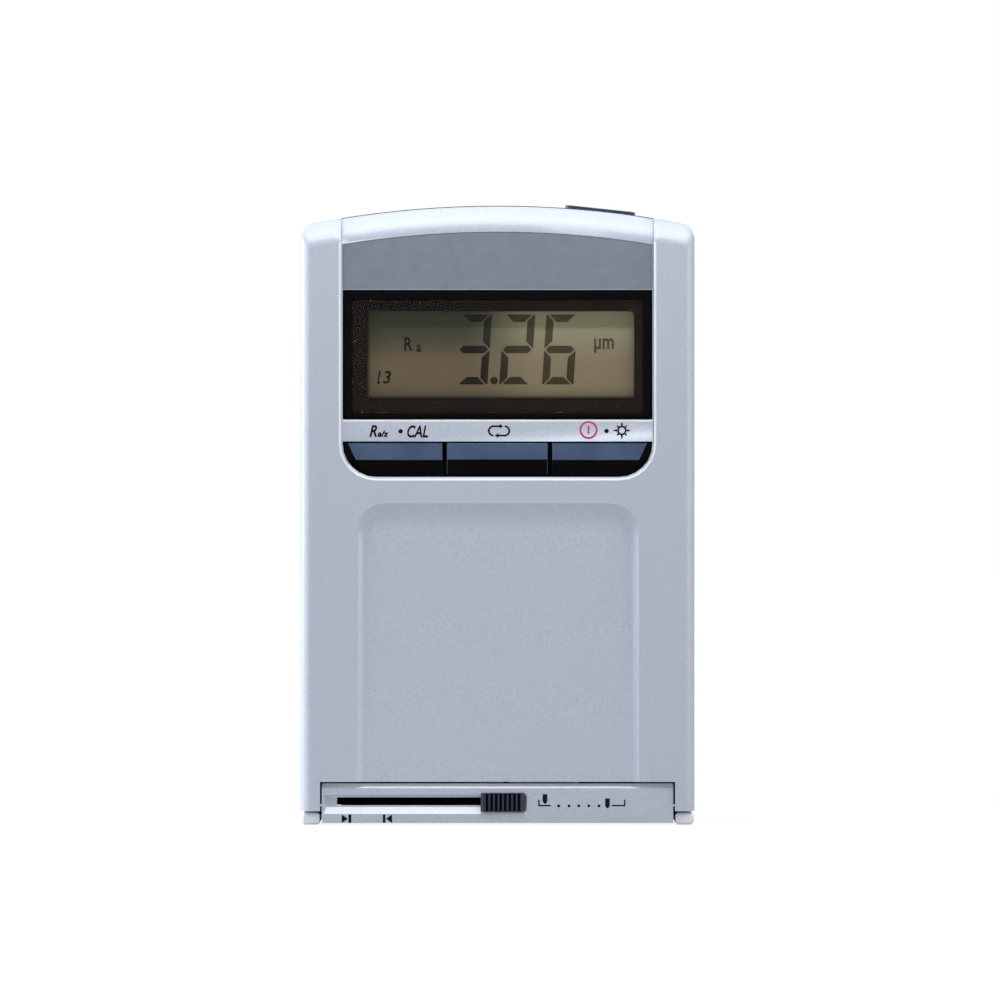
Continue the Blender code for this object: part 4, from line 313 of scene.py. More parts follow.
@dataclass(frozen=True)
class ClearPlastic(Finish):
    """Moulded clear polycarbonate with a glare coat: light goes through, with a gloss at glancing angles.

    Its first colour is the gloss's and its second the clear film's.
    """

    gloss_ior: float = 1.14
    speck_mm: float = 2.3
    speck_edge: Pair = (0.07, 0.04)
    speck_share: float = 0.12

    def pattern(self, tree: Tree, shader: Node, where: Socket) -> None:
        """Lays the gloss over a clear film, by the angle of sight, with a few fine specks of dust."""
        specks = add_node(tree, "TexVoronoi", {}, {"Vector": where, "Scale": per(self.speck_mm)})
        start, full = self.speck_edge
        dots = {"Value": specks, "From Min": start, "From Max": full, "To Max": self.speck_share}
        dust = add_node(tree, "MapRange", {}, dots)
        edge = add_node(tree, "Fresnel", {}, {"IOR": self.gloss_ior})
        share = add_node(tree, "Math", SUM, {"Value": edge, "Value_001": dust})
        film = add_node(tree, "BsdfTransparent", {}, {"Color": linear(self.second)})
        both = add_node(tree, "MixShader", {}, {"Fac": share, "Shader": film, "Shader_001": shader})
        tree.links.new(both.outputs[0], tree.nodes["Material Output"].inputs["Surface"])


@dataclass(frozen=True)
class LiquidCrystal(Finish):
    """A reflective display cell: olive-grey, with a painted reflection that shifts its tone across it, and a
    painted shadow of the bezel along its edges.
    """

    depth_mm: float = 0.003
    cloth_mm: float = 0.25
    edge_shadow_colour: str = "#171310"
    foot: str = WHITE
    second_foot: str = WHITE
    across_mm: Pair = (-6.0, 8.5)
    down_mm: Pair = (88.0, 81.0)
    edge_shadow_mm: Triple = (-23.5, 91.6, 75.5)
    edge_shadow_width_mm: Triple = (1.0, 0.7, 0.9)

    def pattern(self, tree: Tree, shader: Node, where: Socket) -> None:
        """Adds the painted reflection that shifts the tone, the painted shadow of the bezel along three
        edges, and the cloth look of the reflector.
        """
        axes = add_node(tree, "SeparateXYZ", {}, {"Vector": where})
        x, z = axes.outputs["X"], axes.outputs["Z"]
        left, top, low = self.edge_shadow_mm
        left_width, top_width, low_width = self.edge_shadow_width_mm
        across, down, *edge_shadows = [
            add_node(
                tree,
                "MapRange",
                {"interpolation_type": "SMOOTHSTEP"},
                {"Value": value, "From Min": start * MM, "From Max": stop * MM},
            )
            for value, start, stop in (
                (x, *self.across_mm),
                (z, *self.down_mm),
                (x, left, left + left_width),
                (z, top, top - top_width),
                (z, low, low + low_width),
            )
        ]
        colour = {"data_type": "RGBA"}
        # The tone's drift across and down the cell is a painted reflection.
        sides = [
            add_node(tree, "Mix", colour, {"Factor": down, "A": linear(above), "B": linear(below)})
            for above, below in ((self.colour, self.foot), (self.second, self.second_foot))
        ]
        tint = add_node(tree, "Mix", colour, {"Factor": across, "A": sides[0], "B": sides[1]})
        # A painted shadow of the bezel darkens the left, top and foot edges.
        for edge_shadow in edge_shadows:
            tint = add_node(tree, "Mix", colour, {"Factor": edge_shadow, "A": linear(self.edge_shadow_colour), "B": tint})
        self.join(tree, tint, shader.inputs["Base Color"])
        cloth = add_node(tree, "TexNoise", {}, {"Vector": where, "Scale": per(self.cloth_mm), "Detail": 1.0})
        self.relief(tree, shader, cloth)


def white_to_sight(tree: Tree) -> Node:
    """Adds the test that is 1 for a ray that sees: from the camera, from a gloss or through glass."""
    path = add_node(tree, "LightPath", {}, {})
    seen = path.outputs["Is Camera Ray"]
    for name in ("Is Glossy Ray", "Is Transmission Ray"):
        seen = add_node(tree, "Math", SUM, {"Value": seen, "Value_001": path.outputs[name]}).outputs[0]
    return seen.node


@dataclass(frozen=True)
class WhiteCard(Finish):
    """Matt card under soft light: white to sight with no horizon, and grey only in the tester's shadow.

    Its first colour is the card's and its second the glow's.
    """

    glow: float = 1.1
    shaded_white: float = 0.78
    shade_reach: Pair = (0.1, 0.35)

    def pattern(self, tree: Tree, shader: Node, where: Socket) -> None:
        """Lets a ray that sees find mostly white near the tester, and nothing else farther off."""
        light = add_node(tree, "Emission", {}, {"Color": linear(self.second), "Strength": self.glow})
        away = add_node(tree, "VectorMath", {"operation": "LENGTH"}, {"Vector": where})
        near, far = self.shade_reach
        reach = {"Value": away, "From Min": near, "From Max": far, "To Min": self.shaded_white}
        white = add_node(tree, "MapRange", {}, reach)
        shares = {"Value": white_to_sight(tree), "Value_001": white}
        part = add_node(tree, "Math", {"operation": "MULTIPLY"}, shares)
        both = add_node(tree, "MixShader", {}, {"Fac": part, "Shader": shader, "Shader_001": light})
        tree.links.new(both.outputs[0], tree.nodes["Material Output"].inputs["Surface"])


class Finishes(enum.Enum):
    """Every finish on the tester, and the card that it stands on."""

    # The case: a soft metallic sheen. Narrow brinks that face up get a paler, glossier lacquer, a painted
    # highlight where the case shades them.
    CASE = SilverLacquer("silver_lacquer_on_abs", "#ABB3C1", "#B9C1CF", 0.42, metallic=0.12, specular=0.3)
    BRINK = SilverLacquer(
        "silver_lacquer_built_up_on_brinks", "#D2D9E2", "#DDE3EA", 0.35, metallic=0.12, specular=0.4
    )
    # Moulded plastic that was never painted: dull and nearly black.
    BARE = MouldedPlastic("unpainted_black_abs", "#101114", "#16171B", 0.55, specular=0.1)
    # The bare name plate: matt grey with faint clouds.
    PLATE = SatinPlate("etched_aluminium_plate", "#757C88", "#7D8490", 0.6, metallic=0.2, specular=0.2)
    # The display's frame and the other black mouldings: deep black, which also serves as painted shade in key
    # hollows, knob grooves and the slope over the display. A warmer black on the border behind the window.
    BEZEL = MouldedPlastic("moulded_black_abs", "#030305", "#060608", 0.45, specular=0.04)
    MASK = MouldedPlastic("screened_window_border", "#1C1414", "#241B1A", 0.4, specular=0.04)
    # The soft keys are dull and blue-grey, a colour that partly paints the sheen on their near-black plastic;
    # their hollows are black as painted shade. The navy start button and knob catch the light.
    KEY = MouldedPlastic("soft_touch_key_plastic", "#41516A", "#4A5C77", 0.5, specular=0.15)
    NAVY = MouldedPlastic("glossy_navy_abs", "#19223A", "#202A45", 0.32, specular=0.35)
    # The window is all gloss. Under it the glass is olive to sand, a painted reflection, with a painted
    # shadow of the bezel at its edges, and paler than the real cell, a painted light against the bezel's
    # shade. Its segments are a darker tone of the same.
    WINDOW = ClearPlastic("clear_polycarbonate", WHITE, "#FAFAF6", 0.04, metallic=1.0)
    LCD = LiquidCrystal(
        "display_glass_and_reflector", "#5D6153", "#C9C4AB", 0.4,
        specular=0.05, foot="#9A8975", second_foot="#BEAE99",
    )
    SEGMENT = LiquidCrystal(
        "dark_display_segments", "#252932", "#6A6353", 0.4,
        specular=0.05, foot="#29271F", second_foot="#5A5040",
    )
    # Printed marks: flat and dull.
    INK = MouldedPlastic("black_pad_print", "#08090E", "#101117", 0.6, specular=0.1)
    RED_INK = MouldedPlastic("red_pad_print", "#B93A6B", "#C44A7A", 0.6, specular=0.1)
    # Guides and feet: pale and dull.
    WHITE_PLASTIC = MouldedPlastic("moulded_white_acetal", "#D9DADB", "#E4E5E6", 0.45)
    RUBBER = MouldedPlastic("moulded_grey_rubber", "#D3DAE1", "#DFE5EA", 0.75, specular=0.3, grain_mm=0.3)
    # Tracks under the board's mask and the print on the cells: two colours that meet in bands.
    BOARD = Striped("glass_epoxy_laminate", "#1E5A3C", "#2A7350", 0.4, band_mm=1.6, turn=(0.0, 0.78, 0.0))
    SLEEVE = Striped(
        "printed_cell_sleeve", "#3E6FA8", "#C9D4DF", 0.35, band_mm=20.0, turn=(0.0, 1.571, 0.0)
    )
    # Bare metals shine in streaks along the tool's marks. The dull black steel and alloy are painted shade:
    # they make what the slots show dark.
    STEEL = WorkedMetal("turned_steel", "#9B9DA0", "#B4B6B9", 0.32, metallic=1.0)
    BLACKED = WorkedMetal("black_oxide_steel", "#0C0D10", "#15161A", 0.5, metallic=1.0)
    ANODISED = WorkedMetal("black_anodised_aluminium", "#08080A", "#0E0F12", 0.55, metallic=1.0)
    BRASS = WorkedMetal("turned_brass", "#B08D4A", "#C7A45E", 0.3, metallic=1.0)
    ALUMINIUM = WorkedMetal("milled_aluminium", "#B4B7BB", "#C8CBCF", 0.36, metallic=1.0)
    DIAMOND = WorkedMetal("ground_diamond", "#C9CDD2", "#DDE1E6", 0.12, specular=0.9)
    CARD = WhiteCard("matt_white_card", "#E8E8E8", WHITE, 0.9, specular=0.0)


FINISH_OF_SLOT: dict[str, Finishes] = {
    "silver_paint": Finishes.CASE,
    "satin_plate": Finishes.PLATE,
    "pale_plastic": Finishes.RUBBER,
    "black_plastic": Finishes.BEZEL,
    "key_plastic": Finishes.KEY,
    "clear_plastic": Finishes.WINDOW,
    "lcd_glass": Finishes.LCD,
    "white_plastic": Finishes.WHITE_PLASTIC,
    "grey_rubber": Finishes.RUBBER,
    "board_laminate": Finishes.BOARD,
    "steel": Finishes.STEEL,
    "brass": Finishes.BRASS,
    "aluminium": Finishes.ALUMINIUM,
    "cell_sleeve": Finishes.SLEEVE,
    "diamond": Finishes.DIAMOND,
}


def show(name: str, bm: BMesh, finish: Finishes, body: str, smooth: float) -> Object:
    """Makes an object of a finished mesh and lets it ride on its body.

    Args:
        name: the piece's name.
        bm: its mesh, in place, which is freed.
        finish: its finish.
        body: the CAD body that carries it.
        smooth: the angle in degrees under which two faces shade as one.

    Returns:
        The new piece.
    """
    mesh = bpy.data.meshes.new(name)
    bm.to_mesh(mesh)
    bm.free()
    mesh.materials.append(finish.value.material())
    mesh.shade_smooth()
    mesh.set_sharp_from_angle(angle=math.radians(smooth))
    made = bpy.data.objects.new(name, mesh)
    bpy.context.scene.collection.objects.link(made)
    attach(made, body)
    return made


def dress(*nodes: str, finish: Finishes | None = None) -> None:
    """Gives CAD nodes one finish, or else that of their material slot."""
    for node in nodes:
        made = (finish or FINISH_OF_SLOT[SLOTS[node]]).value.material()
        mesh = frame["nodes"][node].data
        mesh.materials.clear()
        mesh.materials.append(made)


def merged(node: str) -> BMesh:
    """Returns a copy of a CAD node's mesh with its loose triangles joined and its flats made whole."""
    bm = bmesh.new()
    bm.from_mesh(frame["nodes"][node].data)
    bmesh.ops.remove_doubles(bm, verts=bm.verts, dist=MERGE)
    bmesh.ops.dissolve_limit(bm, angle_limit=math.radians(FLAT_TURN), verts=bm.verts, edges=bm.edges)
    return bm


class Shelter:
    """Knows which faces look into the closed case, where the moulder's plastic was never painted."""

    start = 0.05 * MM
    reach = 0.1

    def __init__(self, nodes: tuple[str, ...], skin: float, wells: Pair = (0.0, 0.0)) -> None:
        """Keeps the closed case's faces.

        Args:
            nodes: the CAD nodes that close the case.
            skin: how deep a face lies behind the case's front before it can be inside.
            wells: the least and the most width of the wells that open outwards, whose walls are painted.
        """
        self.wells = wells
        corners: list[Vector] = []
        faces: list[list[int]] = []
        for node in nodes:
            mesh = frame["nodes"][node].data
            faces += [[len(corners) + i for i in polygon.vertices] for polygon in mesh.polygons]
            corners += [vertex.co.copy() for vertex in mesh.vertices]
        self.tree = BVHTree.FromPolygons(corners, faces)
        self.front = min(corner.y for corner in corners) + skin

    def covers(self, face: Face) -> bool:
        """Says whether a face looks at another wall of the case."""
        middle = face.calc_center_median()
        if middle.y < self.front:
            return False
        _, _, _, away = self.tree.ray_cast(middle + face.normal * self.start, face.normal, self.reach)
        return away is not None and not self.wells[0] < away < self.wells[1]


@dataclass
class Softened:
    """A CAD node's shape with its sharp edges rounded, which stands for the node.

    A moulded or machined edge is never a knife edge: its small round catches the light as a thin line.
    """

    node: str
    radius: float = 0.15 * MM
    segments: int = 2
    least_turn: float = 40.0
    smooth: float = SMOOTH_TURN
    wide_radius: float = 0.5 * MM
    wide_segments: int = 4
    is_wide: Callable[[Edge], bool] | None = None
    cuts: tuple[tuple[Vector, Vector], ...] = ()
    finish: Finishes | None = None
    others: dict[Finishes, Callable[[Face], bool]] = field(default_factory=dict)

    def build(self) -> Object:
        """Returns the rounded piece, in the node's place."""
        bm = merged(self.node)
        for place, normal in self.cuts:
            geom = [*bm.verts, *bm.edges, *bm.faces]
            bmesh.ops.bisect_plane(bm, geom=geom, dist=MERGE, plane_co=place, plane_no=normal)
        if self.is_wide:
            wide = [e for e in bm.edges if self.is_sharp(e) and self.is_wide(e)]
            self.round(bm, wide, self.wide_radius, self.wide_segments)
        self.round(bm, [e for e in bm.edges if self.is_sharp(e)], self.radius, self.segments)
        self.keep_in_box(bm)
        for face in bm.faces:
            fitting = (i for i, fits in enumerate(self.others.values(), 1) if fits(face))
            face.material_index = next(fitting, 0)
        slot = SLOTS[self.node]
        finish = self.finish or FINISH_OF_SLOT[slot]
        made = show(self.node + "_finished", bm, finish, BODIES[self.node], self.smooth)
        for other in self.others:
            made.data.materials.append(other.value.material())
        level = made.modifiers.new("flats stay flat", "WEIGHTED_NORMAL")
        level.keep_sharp = True
        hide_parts(self.node)
        return made

    def round(self, bm: BMesh, edges: list[Edge], radius: float, segments: int) -> None:
        """Rounds the edges.

        Args:
            bm: the mesh that they are in.
            edges: the edges.
            radius: the size of the round.
            segments: how many faces make it.
        """
        bmesh.ops.bevel(
            bm, geom=edges, affect="EDGES", offset=radius, offset_type="OFFSET",
            segments=segments, profile=0.5, clamp_overlap=True, material=-1,
        )

    def keep_in_box(self, bm: BMesh) -> None:
        """Pulls back each corner that a round pushed out of the node's box, so that its flats stay flat."""
        low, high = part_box(self.node)
        for vertex in bm.verts:
            vertex.co = Vector([max(low[i], min(high[i], vertex.co[i])) for i in range(3)])

    def is_sharp(self, edge: Edge) -> bool:
        """Says whether an edge turns far enough to be rounded, and is long enough to hold the round."""
        turns = edge.is_manifold and edge.calc_face_angle(0.0) > math.radians(self.least_turn)
        return turns and edge.calc_length() > self.radius


@dataclass
class Print:
    """Flat marks printed on a face that looks to the front: a skin of ink 0.02 mm high."""

    name: str
    face_y: float
    finish: Finishes
    body: str = "housing"
    slot: str = "black_plastic"
    skin: float = 0.02 * MM
    arc_step: float = 11.0
    curve_steps: int = 4
    sharp_turn: float = 30.0
    bm: BMesh = field(default_factory=bmesh.new)

    def area(self, outline: list[Pair]) -> None:
        """Adds a filled outline, given as (x, z) corners in millimetres."""
        corners = [self.bm.verts.new((x * MM, self.face_y - self.skin, z * MM)) for x, z in outline]
        face = self.bm.faces.new(corners)
        grown = bmesh.ops.extrude_face_region(self.bm, geom=[face])
        moved = [g for g in grown["geom"] if isinstance(g, bmesh.types.BMVert)]
        bmesh.ops.translate(self.bm, verts=moved, vec=(0.0, 2 * self.skin, 0.0))

    def bar(self, low: Pair, high: Pair) -> None:
        """Adds an upright rectangle between two corners, in millimetres."""
        self.area([low, (high[0], low[1]), high, (low[0], high[1])])

    def dot(self, centre: Pair, radius: float, sides: int = 16) -> None:
        """Adds a filled disc, in millimetres."""
        turns = [math.tau * i / sides for i in range(sides)]
        self.area([(centre[0] + radius * math.cos(t), centre[1] + radius * math.sin(t)) for t in turns])

    def arc(self, centre: Pair, radius: float, width: float, start: float = 0.0, stop: float = 360.0) -> None:
        """Adds part of a ring.

        Args:
            centre: its middle, (x, z) in millimetres.
            radius: its middle radius in millimetres.
            width: the width of its line in millimetres.
            start: the angle where it starts, in degrees from +X towards +Z.
            stop: the angle where it ends.
        """
        x, z = centre
        turn, half = math.radians(start), width / 2
        section = ((-half, -self.skin), (half, -self.skin), (half, self.skin), (-half, self.skin))
        first = []
        for out, y in section:
            r = radius + out
            place = ((x + r * math.cos(turn)) * MM, self.face_y + y, (z + r * math.sin(turn)) * MM)
            first.append(self.bm.verts.new(place))
        full = stop - start >= 360
        edges = [self.bm.edges.new((first[i], first[(i + 1) % 4])) for i in range(4)]
        geom = [*first, *edges] if full else [*first, *edges, self.bm.faces.new(first)]
        bmesh.ops.spin(
            self.bm,
            geom=geom,
            cent=(x * MM, self.face_y, z * MM),
            axis=(0.0, -1.0, 0.0),
            angle=math.radians(stop - start),
            steps=max(6, round((stop - start) / self.arc_step)),
            use_merge=full,
        )

    def words(self, text: str, low: Pair, high: Pair, shear: float = 0.0, bold: float = 0.02) -> None:
        """Adds lettering that fills a box.

        Args:
            text: what it says.
            low: the box's left foot, (x, z) in millimetres.
            high: its right top.
            shear: how far the letters lean to the right.
            bold: how far their strokes are thickened each way, as a share of the letters' size.
        """
        curve = bpy.data.curves.new(self.name + "_words", "FONT")
        curve.body = text
        curve.shear = shear
        curve.offset = bold
        curve.resolution_u = self.curve_steps
        curve.extrude = self.skin
        holder = bpy.data.objects.new(self.name + "_words", curve)
        bpy.context.scene.collection.objects.link(holder)
        graph = bpy.context.evaluated_depsgraph_get()
        mesh = bpy.data.meshes.new_from_object(holder.evaluated_get(graph))
        bpy.data.objects.remove(holder)
        xs = [v.co.x for v in mesh.vertices]
        ys = [v.co.y for v in mesh.vertices]
        scale_x = (high[0] - low[0]) * MM / (max(xs) - min(xs))
        scale_z = (high[1] - low[1]) * MM / (max(ys) - min(ys))
        mesh.transform(Matrix.Translation((-min(xs), -min(ys), 0.0)))
        mesh.transform(Matrix.Diagonal((scale_x, scale_z, 1.0, 1.0)))
        mesh.transform(Matrix.Rotation(math.radians(90), 4, "X"))
        mesh.transform(Matrix.Translation((low[0] * MM, self.face_y, low[1] * MM)))
        self.bm.from_mesh(mesh)
        bpy.data.meshes.remove(mesh)

    def build(self) -> Object:
        """Returns the printed marks as one piece."""
        bmesh.ops.remove_doubles(self.bm, verts=self.bm.verts, dist=MERGE / 2)
        bmesh.ops.recalc_face_normals(self.bm, faces=self.bm.faces)
        return show(self.name, self.bm, self.finish, self.body, self.sharp_turn)


class Segment(enum.Enum):
    """The seven bars of a digit: the kind of bar, and its side and way from the digit's middle."""

    TOP = ("flat", 1, 1)
    FOOT = ("flat", 1, -1)
    TOP_LEFT = ("upright", -1, 1)
    TOP_RIGHT = ("upright", 1, 1)
    FOOT_LEFT = ("upright", -1, -1)
    FOOT_RIGHT = ("upright", 1, -1)
    MIDDLE = ("middle", 1, 1)


DIGITS: dict[str, tuple[Segment, ...]] = {
    "2": (Segment.TOP, Segment.TOP_RIGHT, Segment.MIDDLE, Segment.FOOT_LEFT, Segment.FOOT),
    "3": (Segment.TOP, Segment.TOP_RIGHT, Segment.MIDDLE, Segment.FOOT_RIGHT, Segment.FOOT),
    "6": tuple(bar for bar in Segment if bar is not Segment.TOP_RIGHT),
}


class Assembly:
    """A group of pieces that are built together."""

    def build(self) -> None:
        """Builds the pieces that stand for CAD nodes, and those that are added to them."""
        raise NotImplementedError


@dataclass
class Case(Assembly):
    """The two shells, the battery cover, the blank name plate and the case screws."""

    step_edge: float = 0.5 * MM
    screw_edge: float = 0.1 * MM
    least_turn: float = 50.0
    smooth: float = 28.0
    skin: float = 1.7 * MM
    screw_wells: Pair = (1.5 * MM, 7.0 * MM)
    opening_foot_z: float = 75.0 * MM
    keys_foot_z: float = 60.0 * MM
    round_reach: float = 0.7 * MM
    flush: float = 0.02 * MM
    beside: float = 0.6 * MM
    turned: Pair = (0.15, 0.995)
    downward: float = -0.2
    level: float = 0.1
    shell: Box = field(default_factory=lambda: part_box("front_shell"))
    plate: Box = field(default_factory=lambda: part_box("name_plate"))
    walls: tuple[str, ...] = ("front_shell", "rear_shell", "battery_cover", "base_rail", "name_plate")

    def build(self) -> None:
        """Rounds the shells' and the cover's edges, widest along the step round the sunken panel."""
        inside = Shelter(self.walls, self.skin).covers
        behind = Shelter(self.walls, self.skin, self.screw_wells).covers
        Softened("battery_cover", others={Finishes.BARE: inside}).build()
        Softened("rear_shell", least_turn=self.least_turn, others={Finishes.BARE: behind}).build()
        # The narrow brinks round the panel get a paler lacquer as a painted highlight, and the slope over the
        # display black as painted shade.
        # A small round's faces turn by 30 degrees, so the front's long slopes don't shade into them.
        Softened(
            "front_shell",
            least_turn=self.least_turn,
            wide_radius=self.step_edge,
            is_wide=self.is_step,
            smooth=self.smooth,
            others={Finishes.BRINK: self.is_highlit_brink, Finishes.BEZEL: self.is_shaded_lintel, Finishes.BARE: inside},
        ).build()
        for number in range(1, 5):
            Softened(f"case_screw_{number}", radius=self.screw_edge).build()

    def is_step(self, edge: Edge) -> bool:
        """Says whether an edge is the brink of the step that goes down to the panel."""
        front, half = self.shell[0].y, self.plate[1].x
        low = [min(vertex.co[i] for vertex in edge.verts) for i in range(3)]
        out = min(abs(vertex.co.x) for vertex in edge.verts)
        at_front = all(abs(vertex.co.y - front) < self.flush for vertex in edge.verts)
        beside = abs(out - half) < self.beside
        below = low[2] > self.keys_foot_z and out < half
        return at_front and (beside or below) and edge.calc_face_angle_signed(0.0) > 0

    def is_highlit_brink(self, face: Face) -> bool:
        """Says whether a face is a narrow slope down to the panel, a sill or the keys' opening, which gets a
        painted highlight.
        """
        middle = face.calc_center_median()
        low = self.keys_foot_z < middle.z < self.opening_foot_z and face.normal.z > self.downward
        upright = self.opening_foot_z <= middle.z < self.plate[1].z and abs(face.normal.z) < self.level
        return self.is_turned(face) and (low or upright)

    def is_shaded_lintel(self, face: Face) -> bool:
        """Says whether a face is the narrow slope over the display, which faces down and gets black as
        painted shade.
        """
        middle = face.calc_center_median()
        high = self.opening_foot_z < middle.z < self.plate[0].z + self.step_edge
        return self.is_turned(face) and high and face.normal.z < self.downward

    def is_turned(self, face: Face) -> bool:
        """Says whether a face at the panel is turned away from the front, and lies near it."""
        middle = face.calc_center_median()
        at_panel = abs(middle.x) < self.plate[1].x + self.round_reach
        least, most = self.turned
        return at_panel and middle.y < self.shell[0].y + self.skin and least < -face.normal.y < most


@dataclass
class Display(Assembly):
    """The bezel, its clear window, the display glass and what it shows."""

    reading: str = "3.26"
    digit_left_mm: Triple = (-7.42, 0.3, 7.9)
    digit_foot_mm: float = 78.18
    digit_height_mm: float = 12.44
    digit_width_mm: float = 5.62
    stroke_mm: float = 1.34
    slit_mm: float = 0.28
    end_mm: float = 0.5
    lean: float = math.tan(math.radians(3.75))
    margin_foot_mm: float = 95.02
    front_y: float = field(default_factory=lambda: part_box("lcd_glass")[0].y)
    bezel_y: float = field(default_factory=lambda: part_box("display_bezel")[0].y)
    bezel_edge: float = 0.12 * MM
    window_edge: float = 0.1 * MM
    mask_depth: float = 0.3 * MM
    facing: float = 0.7

    def is_mask(self, face: Face) -> bool:
        """Says whether a face of the bezel lies behind the window."""
        behind = face.calc_center_median().y > self.bezel_y + self.mask_depth
        return behind and -face.normal.y > self.facing

    def leaned(self, x: float, z: float) -> Pair:
        """Returns a point of an upright digit where the lean of the digits puts it, in millimetres."""
        return (x + (z - self.digit_foot_mm) * self.lean, z)

    def segment(self, marks: Print, left: float, which: Segment) -> None:
        """Draws one bar of a digit, its ends mitred against its neighbours.

        Args:
            marks: the print that takes the bar.
            left: the digit's left edge at its foot, in millimetres.
            which: the bar.
        """
        kind, side, way = which.value
        across, up = self.digit_width_mm / 2, self.digit_height_mm / 2
        bar, slit, end = self.stroke_mm, self.slit_mm, self.end_mm
        tip = across - end / 2
        shape = {
            "flat": [(end - across, up), (across - end, up)]
            + [(across - end - bar, up - bar), (end + bar - across, up - bar)],
            "upright": [(across - bar, up - bar + end - slit), (across - end + slit, up), (across, up)]
            + [(across, slit / 2), (across - bar, slit / 2 + bar)],
            "middle": [(-tip, 0.0), (bar / 2 - tip, bar / 2), (tip - bar / 2, bar / 2)]
            + [(tip, 0.0), (tip - bar / 2, -bar / 2), (bar / 2 - tip, -bar / 2)],
        }[kind]
        middle = left + across
        marks.area([self.leaned(middle + side * x, self.digit_foot_mm + up + way * z) for x, z in shape])

    def build(self) -> None:
        """Builds the bezel, the window and the marks on the glass."""
        Softened("display_bezel", radius=self.bezel_edge, others={Finishes.MASK: self.is_mask}).build()
        Softened("display_window", radius=self.window_edge).build()
        low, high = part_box("name_plate")
        margin = Print("plate_margin", self.bezel_y, Finishes.PLATE, slot="satin_plate")
        margin.bar((low.x / MM, self.margin_foot_mm), (high.x / MM, low.z / MM))
        margin.build()
        marks = Print("display_segments", self.front_y, Finishes.SEGMENT, slot="lcd_glass")
        for left, digit in zip(self.digit_left_mm, self.reading.replace(".", "")):
            for which in DIGITS[digit]:
                self.segment(marks, left, which)
        marks.dot((-0.62, 78.85), 0.68)
        marks.words("R", (-16.6, 84.2), (-15.1, 86.6))
        marks.words("a", (-14.45, 83.9), (-13.6, 85.3))
        one = [(-21.45, 78.3), (-20.95, 78.3), (-20.9, 78.6), (-21.15, 78.7), (-20.75, 80.6), (-21.1, 80.6)]
        marks.area(one)
        marks.words("3", (-20.4, 78.3), (-18.95, 80.6), shear=0.2)
        marks.words("µm", (17.2, 83.8), (20.7, 86.4))
        marks.build()


@dataclass
class Keys(Assembly):
    """The three keys under the display and the marks printed above them."""

    panel_y: float = field(default_factory=lambda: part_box("display_bezel")[0].y)
    edge: float = 0.2 * MM
    flat_foot_z: float = 64.75 * MM
    border_x: float = 26.2 * MM
    border_z: float = 67.0 * MM
    border_way: Pair = (2.71, 1.27)
    sideways: float = 0.7

    def build(self) -> None:
        """Builds the keys and their legends."""
        cuts = tuple((self.border_place(side), self.border_normal(side)) for side in (-1, 1))
        for key in ("key_left", "key_middle", "key_right"):
            # A key's hollow and outer corner are black as painted shade.
            painted_shade = {Finishes.BEZEL: self.is_shaded_hollow}
            Softened(key, radius=self.edge, segments=3, cuts=cuts, others=painted_shade).build()
        ink = Print("key_legends", self.panel_y, Finishes.INK)
        ink.words("R", (-22.75, 68.8), (-21.35, 70.9), shear=0.3, bold=0.03)
        ink.words("a/z", (-21.3, 68.8), (-19.3, 69.95), shear=0.2, bold=0.045)
        ink.dot((-17.2, 69.8), 0.4)
        ink.words("CAL", (-16.05, 68.65), (-12.3, 70.85), shear=0.25, bold=0.025)
        ink.dot((19.36, 69.86), 0.4)
        self.loop(ink, (0.27, 69.87))
        self.sun(ink, (22.07, 69.95))
        ink.build()
        red = Print("power_legend", self.panel_y, Finishes.RED_INK)
        red.arc((16.15, 70.04), 1.43, 0.34)
        red.bar((15.99, 69.35), (16.31, 70.75))
        red.build()

    def is_shaded_hollow(self, face: Face) -> bool:
        """Says whether a face is in the hollow under a key's flat or on its outer corner, which gets black as
        painted shade.
        """
        middle = face.calc_center_median()
        side = 1 if middle.x > 0 else -1
        outside = (middle - self.border_place(side)).dot(self.border_normal(side)) > 0
        return outside or (middle.z < self.flat_foot_z and abs(face.normal.x) < self.sideways)

    def border_place(self, side: int) -> Vector:
        """Returns a point on the slanted line past which a key's corner gets black as painted shade; side is
        -1 at the left.
        """
        return Vector((side * self.border_x, 0.0, self.border_z))

    def border_normal(self, side: int) -> Vector:
        """Returns the way out of that line."""
        across, down = self.border_way
        return Vector((side * across, 0.0, -down)).normalized()

    def loop(self, ink: Print, centre: Pair) -> None:
        """Draws two half loops that chase each other, each with an arrowhead.

        Args:
            ink: the print that takes them.
            centre: the middle of the pair, in millimetres.
        """
        x, z = centre
        for way in (1, -1):
            ink.arc((x - way * 1.0, z), 0.82, 0.32, 90 if way > 0 else -90, 270 if way > 0 else 90)
            ink.bar(*sorted([(x - way * 1.0, z + way * 0.66), (x + way * 0.15, z + way * 0.98)]))
            head = ((0.1, 1.25), (0.75, 0.82), (0.1, 0.39))
            ink.area([(x + way * across, z + way * up) for across, up in head])

    def sun(self, ink: Print, centre: Pair) -> None:
        """Draws a ring with eight short rays.

        Args:
            ink: the print that takes it.
            centre: its middle, in millimetres.
        """
        ink.arc(centre, 0.68, 0.28)
        for i in range(8):
            turn = math.tau * i / 8
            along = Vector((math.cos(turn), math.sin(turn)))
            side = Vector((-along.y, along.x)) * 0.2
            tip = side * 0.3
            near, far = (Vector(centre) + along * out for out in (0.85, 1.25 if i % 2 else 1.5))
            ink.area([tuple(corner) for corner in (near - side, far - tip, far + tip, near + side)])


@dataclass
class StartButton(Assembly):
    """The long button in the top of the case."""

    edge: float = 0.35 * MM

    def build(self) -> None:
        """Builds the button with its rounded rim."""
        Softened("start_button", radius=self.edge, segments=3, finish=Finishes.NAVY).build()


